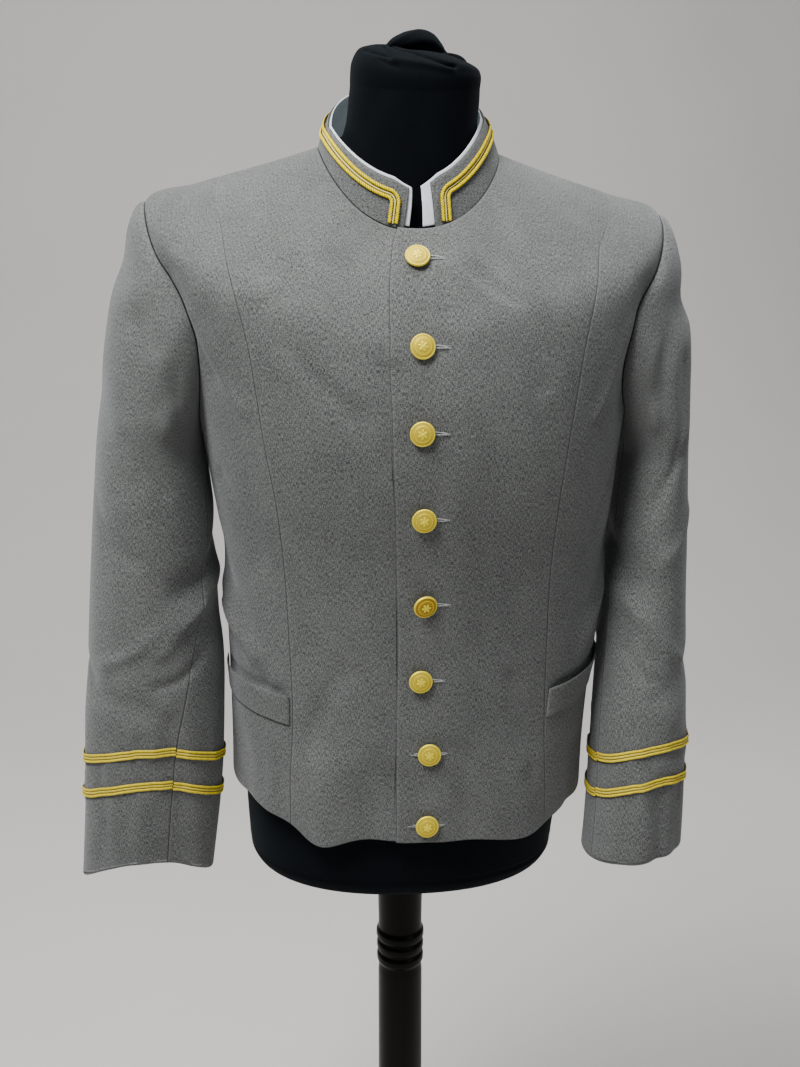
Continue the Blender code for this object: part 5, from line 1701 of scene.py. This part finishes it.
@dataclass
class Buttons:
    """Eight domed, stamped buttons, each with a rosette in a beaded ring."""

    plain: Any
    aged: Any
    aged_number: int = 5
    radial: int = 42
    angular: int = 104

    def height(self, r: Array, turn: Array) -> tuple[Array, Array]:
        """Return the face's height and how high its relief stands, from 0 to 1.

        Args:
            r: Distance from the middle, as a share of the radius.
            turn: Angle in radians.

        Returns:
            Height in millimetres and the relief.
        """
        dome = 4.9 - 2.1 * r ** 2.2
        rim = 0.42 * bell(r - 0.93, 0.035)
        groove = 0.32 * bell(r - 0.64, 0.025)
        petal = np.abs(np.cos(3 * turn)) ** 0.7
        reach = 0.16 + 0.27 * petal
        rosette = 0.36 * eased((reach - r) / 0.07) * (0.55 + 0.45 * petal)
        vein = 0.12 * bell(np.sin(3 * turn + math.pi / 2), 0.22) * eased((0.4 - r) / 0.2)
        middle = 0.30 * eased((0.10 - r) / 0.04)
        bead = 0.30 * eased((0.045 - np.hypot(r - 0.53, 0.53 * np.sin(9 * turn) / 9)) / 0.03)
        relief = rim + groove + rosette - vein + middle + bead
        return dome + relief, np.clip(relief / 0.36, 0, 1)

    def face(self) -> tuple[Array, Array, Array]:
        """Return a button's points on its own axes, its faces and its relief values."""
        shares = np.linspace(0.004, 1, self.radial) ** 0.85
        turn = circle(self.angular)
        r, a = np.meshgrid(shares * 0.965, turn, indexing="ij")
        high, relief = self.height(r, a)
        rows = [vectors(r * BUTTON_RADIUS * np.cos(a), r * BUTTON_RADIUS * np.sin(a), high)]
        values = [vectors(r, a, relief)]
        rounding = ((0.992, 2.35), (1.0, 1.95), (0.99, 1.5), (0.95, 1.2), (0.60, 1.1),
                    (0.27, 1.05), (0.25, 0.6), (0.25, -0.9), (0.02, -0.9))
        for share, z in rounding:
            rows.append(vectors(share * BUTTON_RADIUS * np.cos(turn),
                                share * BUTTON_RADIUS * np.sin(turn), z)[None])
            level = 1.0 if z > 1.3 else 0.2
            values.append(vectors(share, turn, level)[None])
        points, marks = np.concatenate(rows), np.concatenate(values)
        return points, tube_faces(len(points), self.angular, flip=True), marks

    def build(self) -> None:
        """Make all buttons, each turned a little its own way."""
        points, faces, marks = self.face()
        dice = np.random.default_rng(8)
        for number, (x, z) in enumerate(zip(BUTTON_X, BUTTON_Z), start=1):
            place, facing = front_place(x, z, BUTTON_LAY_GAP)
            tip = dice.uniform(-0.05, 0.05, 3)
            aged = number == self.aged_number
            if aged:
                tip = np.array([0.20, 0.0, -0.16])
            axis = unit(facing + tip)
            side = unit(np.cross(axis, np.array([0.0, 0.0, 1.0])))
            top = np.cross(side, axis)
            spin = dice.uniform(0, FULL_TURN)
            east = side * math.cos(spin) + top * math.sin(spin)
            north = np.cross(axis, east)
            lift = 1.2 if aged else 0.0
            spot = (place + axis * lift + points[..., :1] * east + points[..., 1:2] * north
                    + points[..., 2:] * axis)
            parts = MeshParts()
            parts.add(spot, faces, relief=marks)
            parts.made("gilt_button_%d" % number, self.aged if aged else self.plain,
                       "gilt_buttons", "button_%d" % number)


@dataclass
class Buttonholes:
    """Hand-worked buttonholes, their pale thread frayed where they show beside the buttons."""

    thread: Any
    reach: float = 22.0
    short: tuple[int, ...] = (7, 8)

    def build(self) -> None:
        """Make the threads of all buttonholes as one piece."""
        parts = MeshParts()
        dice = np.random.default_rng(21)
        for number, (x, z) in enumerate(zip(BUTTON_X, BUTTON_Z), start=1):
            ends = [(7.5, self.reach * dice.uniform(0.9, 1.02))]
            if number in self.short:
                ends = [(7.5, 15.5), (-7.5, -14.5)]
            for start, stop in ends:
                self.hole(parts, dice, x, z + 0.6, start, stop)
        parts.made("buttonhole_threads", self.thread, "white_liner")

    def hole(self, parts: MeshParts, dice: Any, x: float, z: float, start: float, stop: float) -> None:
        """Work one end of a buttonhole.

        Args:
            parts: Takes the threads.
            dice: Random numbers.
            x: The button's place across.
            z: Its height.
            start: Where the threads start, from x.
            stop: Where they end.
        """
        for lip in (-1, 1):
            for strand in range(2):
                share = np.linspace(0, 1, 15)
                across = x + start + (stop - start) * share
                gap = (1.05 - 0.75 * share ** 2) * lip + dice.normal(0, 0.10, 15)
                up = z + gap + strand * 0.35 * lip - 0.8 * share
                self.lay(parts, across, up, 0.28, dice)
        for _ in range(5):
            share = np.linspace(0, 1, 7)
            length = dice.uniform(1.6, 4.2) * math.copysign(1, stop - start)
            across = x + stop - 0.6 + length * share
            up = z - 0.8 + dice.uniform(-1.6, 1.6) * share + dice.uniform(-0.5, 0.5)
            self.lay(parts, across, up + np.sin(share * 4) * dice.uniform(-0.4, 0.4), 0.15, dice)

    @staticmethod
    def lay(parts: MeshParts, across: Array, up: Array, radius: float, dice: Any) -> None:
        """Lay one thread on the left front through places given by x and z."""
        line = np.array([front_place(float(a), float(b), 0.25 + radius
                                     + dice.uniform(0, 0.25))[0] for a, b in zip(across, up)])
        tube_patch(parts, line, radius)


# ---- dress form


@dataclass
class DressForm:
    """The jersey torso with its neck, the gathered neck cover, the pole and the base."""

    jersey: Any
    lacquer: Any
    angular: int = 160
    rows_each: int = 9          # rows of points for each row of the torso's table
    cover_columns: int = 240
    cover_rows: int = 110
    knot_columns: int = 84
    knot_rows: int = 90
    turned_columns: int = 96

    @staticmethod
    def rings(rows: Sequence[Sequence[float]], count: int, columns: int) -> tuple[Array, Array]:
        """Return angles, and a table's surface in rings of points at those angles."""
        theta, at = np.linspace(0, 360, columns, endpoint=False), np.linspace(0, len(rows) - 1, count)
        row = {name: read(column, at)[:, None] for name, column in table(FORM_NAMES, rows).items()}
        return theta, ring(row, theta[None, :])

    def torso(self) -> None:
        """Make the torso, closed below and at the neck, with a seam near its lower edge."""
        theta, points = self.rings(FORM_ROWS, (len(FORM_ROWS) - 1) * self.rows_each + 1, self.angular)
        centre = points.mean(axis=1, keepdims=True)
        outward = unit((points - centre) * np.array([1, 1, 0]))
        z = points[..., 2]
        seam = -1.1 * bell(z - 783, 1.6) + 0.5 * bell(z - 778, 5)
        side_seam = -0.8 * bell(np.abs(wrapped(theta)) - 92, 0.7)[None, :]
        points = points + outward * (seam + side_seam * (z > 784))[..., None]
        self.capped("jersey_torso", [points], "form_torso", 4.0)
        for level in (787.5, 779.0):
            self.ring_of_stitches(level, points)

    def ring_of_stitches(self, level: float, points: Array) -> None:
        """Sew a ring of stitches round the torso at a height."""
        row = int(np.argmin(np.abs(points[:, 0, 2] - level)))
        line = points[row].copy()
        line[:, 2] = level
        centre = line.mean(axis=0)
        normal = unit((line - centre) * np.array([1, 1, 0]))
        line = np.concatenate((line, line[:1]))
        normal = np.concatenate((normal, normal[:1]))
        parts = stitched(line + normal * 0.3, normal, 3.0, 2.1, 0.22)
        parts.made("form_stitches_%d" % int(level), self.jersey, "form_jersey")

    def capped(self, name: str, forms: Sequence[Array], node: str, close: float) -> None:
        """Turn forms into one piece, each of rings of points closed at both ends.

        Args:
            name: The piece's name.
            forms: Rings of points, from the lowest up.
            node: The solid that it replaces.
            close: How small the first and last rings shrink, in millimetres.
        """
        parts = MeshParts()
        for points in forms:
            self.add_closed(parts, points, close)
        parts.made(name, self.jersey, "form_jersey", node)

    @staticmethod
    def add_closed(parts: MeshParts, points: Array, close: float) -> None:
        """Add rings of points, with both ends closed."""
        first, last = points[:1], points[-1:]
        start, end = first.mean(axis=1, keepdims=True), last.mean(axis=1, keepdims=True)
        radius = np.linalg.norm(first - start, axis=-1, keepdims=True)
        radius_end = np.linalg.norm(last - end, axis=-1, keepdims=True)
        rings = [start + (first - start) * close / radius, start + (first - start) * 0.6,
                 start + (first - start) * 0.97, points, end + (last - end) * 0.97,
                 end + (last - end) * 0.6, end + (last - end) * close / radius_end]
        whole = np.concatenate(rings)
        up = steps_along(whole, 0)
        across = steps_along(np.concatenate((whole, whole[:, :1]), axis=1), 1)[:, :-1]
        grain = vectors(across, up, EDGE_FAR)
        parts.add(whole, tube_faces(len(whole), whole.shape[1]), grain=grain)

    def cover(self) -> None:
        """Make the neck cover, drawn into folds that wind towards the knot."""
        points = self.rings(COVER_ROWS, self.cover_rows, self.cover_columns)[1]
        outward = unit(np.cross(np.gradient(points, axis=1), np.gradient(points, axis=0)))
        sink = sum(depth * bell(self.away(points, line), width) for width, depth, line in COVER_FOLDS)
        self.capped("neck_cover_cloth", [points - outward * sink[..., None]], "neck_cover", 3.0)

    @staticmethod
    def away(points: Array, line: Sequence[Sequence[float]]) -> Array:
        """Return how far points lie from a line through places."""
        places = np.array(line, float)
        nearest = np.full(points.shape[:-1], np.inf)
        for start, end in zip(places, places[1:]):
            run = end - start
            part = np.clip(((points - start) @ run) / (run @ run), 0, 1)
            off = np.linalg.norm(points - start - part[..., None] * run, axis=-1)
            nearest = np.minimum(nearest, off)
        return nearest

    def knot(self) -> None:
        """Make the knot as a bent roll of cloth, and a small loop of it beside it."""
        turn = circle(self.knot_columns)[None, :, None]
        forms = []
        for rows in KNOT_ROLLS:
            at = np.linspace(0, len(rows) - 1, self.knot_rows)
            line = np.stack([read(column, at) for column in np.array(rows).T], axis=-1)
            along = unit(np.gradient(line[:, :3], axis=0))
            front = unit(np.array([0.0, -1.0, 0.0]) - along * -along[:, 1:2])[:, None]
            below = np.cross(along[:, None], front)
            wind = turn + 2.2 * np.linspace(0, 1, self.knot_rows)[:, None, None]
            fold = 1 + 0.10 * (np.abs(np.sin(1.5 * wind + 0.5)) ** 0.7 - 0.5)
            fold = fold + 0.03 * np.sin(5 * wind + 1.2)
            radius = line[:, None, 3:] * fold
            forms.append(line[:, None, :3] + radius * (1.2 * np.cos(turn) * front
                                                       + np.sin(turn) * below))
        self.capped("neck_knot_cloth", forms, "neck_knot", 0.6)

    def turned(self, name: str, profile: Sequence[tuple[float, float]], node: str) -> None:
        """Make a turned, lacquered piece.

        Args:
            name: The piece's name.
            profile: Radius and height, top to bottom.
            node: The solid that it replaces.
        """
        line = self.softened(np.array(profile, float))
        angle = circle(self.turned_columns)
        radius = np.maximum(line[:, :1], 0.8)
        points = vectors(radius * np.cos(angle), radius * np.sin(angle), line[:, 1:])
        parts = MeshParts()
        parts.add(points, tube_faces(len(line), self.turned_columns, flip=True))
        parts.made(name, self.lacquer, "black_lacquer", node, lean=False)

    @staticmethod
    def softened(profile: Array) -> Array:
        """Return a profile with its corners rounded by an arc of a few points."""
        made = [profile[0]]
        for before, here, after in zip(profile, profile[1:], profile[2:]):
            back, ahead = before - here, after - here
            cut = min(1.6, 0.45 * np.linalg.norm(back), 0.45 * np.linalg.norm(ahead))
            start = here + unit(back) * cut
            end = here + unit(ahead) * cut
            for share in np.linspace(0, 1, 5):
                made.append(start * (1 - share) ** 2 + here * 2 * share * (1 - share)
                            + end * share ** 2)
        made.append(profile[-1])
        return np.array(made)

    def build(self) -> None:
        """Make the whole form and its stand."""
        self.torso()
        self.cover()
        self.knot()
        self.turned("lacquered_pole", POLE_PROFILE, "pole")
        self.turned("lacquered_base", BASE_PROFILE, "base")


# ---- studio


@dataclass
class Studio:
    """The pale floor with its curved wall, the soft lights and the camera."""

    wall_distance: float = 3.2      # metres behind the part
    bend: float = 1.2               # radius of the bend from the floor into the wall
    target: tuple[float, float, float] = (0.0, 0.0, 1.15)
    sky_colour: Colour = (0.93, 0.95, 1.0)
    sky_strength: float = 0.17
    lights: tuple[tuple[str, tuple[float, float, float], float, float], ...] = (
        ("key", (-1.1, -1.0, 3.5), 1.1, 117.0),
        ("fill", (2.3, -2.3, 1.9), 1.6, 7.0),
        ("top", (0.1, 0.0, 3.3), 1.3, 44.0),
        ("rear_left", (-2.2, 1.8, 2.4), 1.2, 16.0),
        ("rear_right", (2.2, 1.8, 2.4), 1.2, 14.0),
    )

    def sweep(self, material: Any) -> None:
        """Make the floor that bends up into a wall."""
        turn = np.linspace(0, math.pi / 2, 16)
        corner = [(self.wall_distance - self.bend + self.bend * math.sin(a),
                   self.bend * (1 - math.cos(a))) for a in turn]
        line = np.array([(-5.0, 0.0), *corner, (self.wall_distance, 5.0)])
        x = np.array([-6.0, -2.0, 2.0, 6.0])
        points = vectors(x, line[:, :1], line[:, 1:] - 0.0005)
        mesh = bpy.data.meshes.new("pale_floor")
        mesh.from_pydata(points.reshape(-1, 3).tolist(), [], grid_faces(len(line), 4).tolist())
        mesh.shade_smooth()
        mesh.materials.append(material)
        placed("pale_floor", mesh)

    def light(self) -> None:
        """Place the soft lights, all turned to the jacket's chest."""
        for name, place, size, power in self.lights:
            data = bpy.data.lights.new(name, "AREA")
            data.shape = "DISK"
            data.size = size
            data.energy = power
            lamp = placed(name, data)
            way = unit(np.array(self.target) - place)
            lamp.location = place
            lamp.rotation_euler = (math.acos(-way[2]), 0.0, math.atan2(-way[0], way[1]))
        world = bpy.data.worlds.new("soft_world")
        world.use_nodes = True
        sky = world.node_tree.nodes["Background"].inputs
        sky["Color"].default_value = (*self.sky_colour, 1)
        sky["Strength"].default_value = self.sky_strength
        bpy.context.scene.world = world

    @staticmethod
    def camera() -> None:
        """Place the camera where the photograph was taken from."""
        data = bpy.data.cameras.new("camera")
        data.sensor_width = SENSOR_MM
        data.lens = CAMERA_FOCUS_PIXELS / max(IMAGE_SIZE) * SENSOR_MM
        data.clip_end = 50.0
        camera = placed("camera", data)
        camera.location = CAMERA_PLACE
        camera.rotation_euler = (math.radians(90 - CAMERA_DOWN), 0, math.radians(-CAMERA_TURN))
        bpy.context.scene.camera = camera

    def build(self) -> None:
        """Set the studio up."""
        self.sweep(Plaster().material())
        self.light()
        self.camera()


def main() -> None:
    """Build every sub-assembly in order and report each."""
    logging.basicConfig(level=logging.INFO, format="%(message)s")
    worsted, white = Worsted().material(), Cotton().material()
    thread = Cotton("thread", (0.62, 0.64, 0.64), (0.36, 0.37, 0.37), 0.0).material()
    sleeves = {side: SleeveSurface(side) for side in Side}
    collar = CollarSurface()
    gilt, aged = Gilt().material("gilt"), Gilt(patina=0.6).material("aged_gilt")
    for assembly in (JacketBody(worsted), Sleeves(worsted, sleeves),
                     Collar(worsted, white, collar), Braids(GoldCord().material(), collar, sleeves),
                     Welts(worsted), Buttons(gilt, aged), Buttonholes(thread),
                     DressForm(Jersey().material(), Lacquer().material()), Studio()):
        assembly.build()
        LOG.info("built: %s", type(assembly).__name__)


if __name__ == "__main__":
    main()
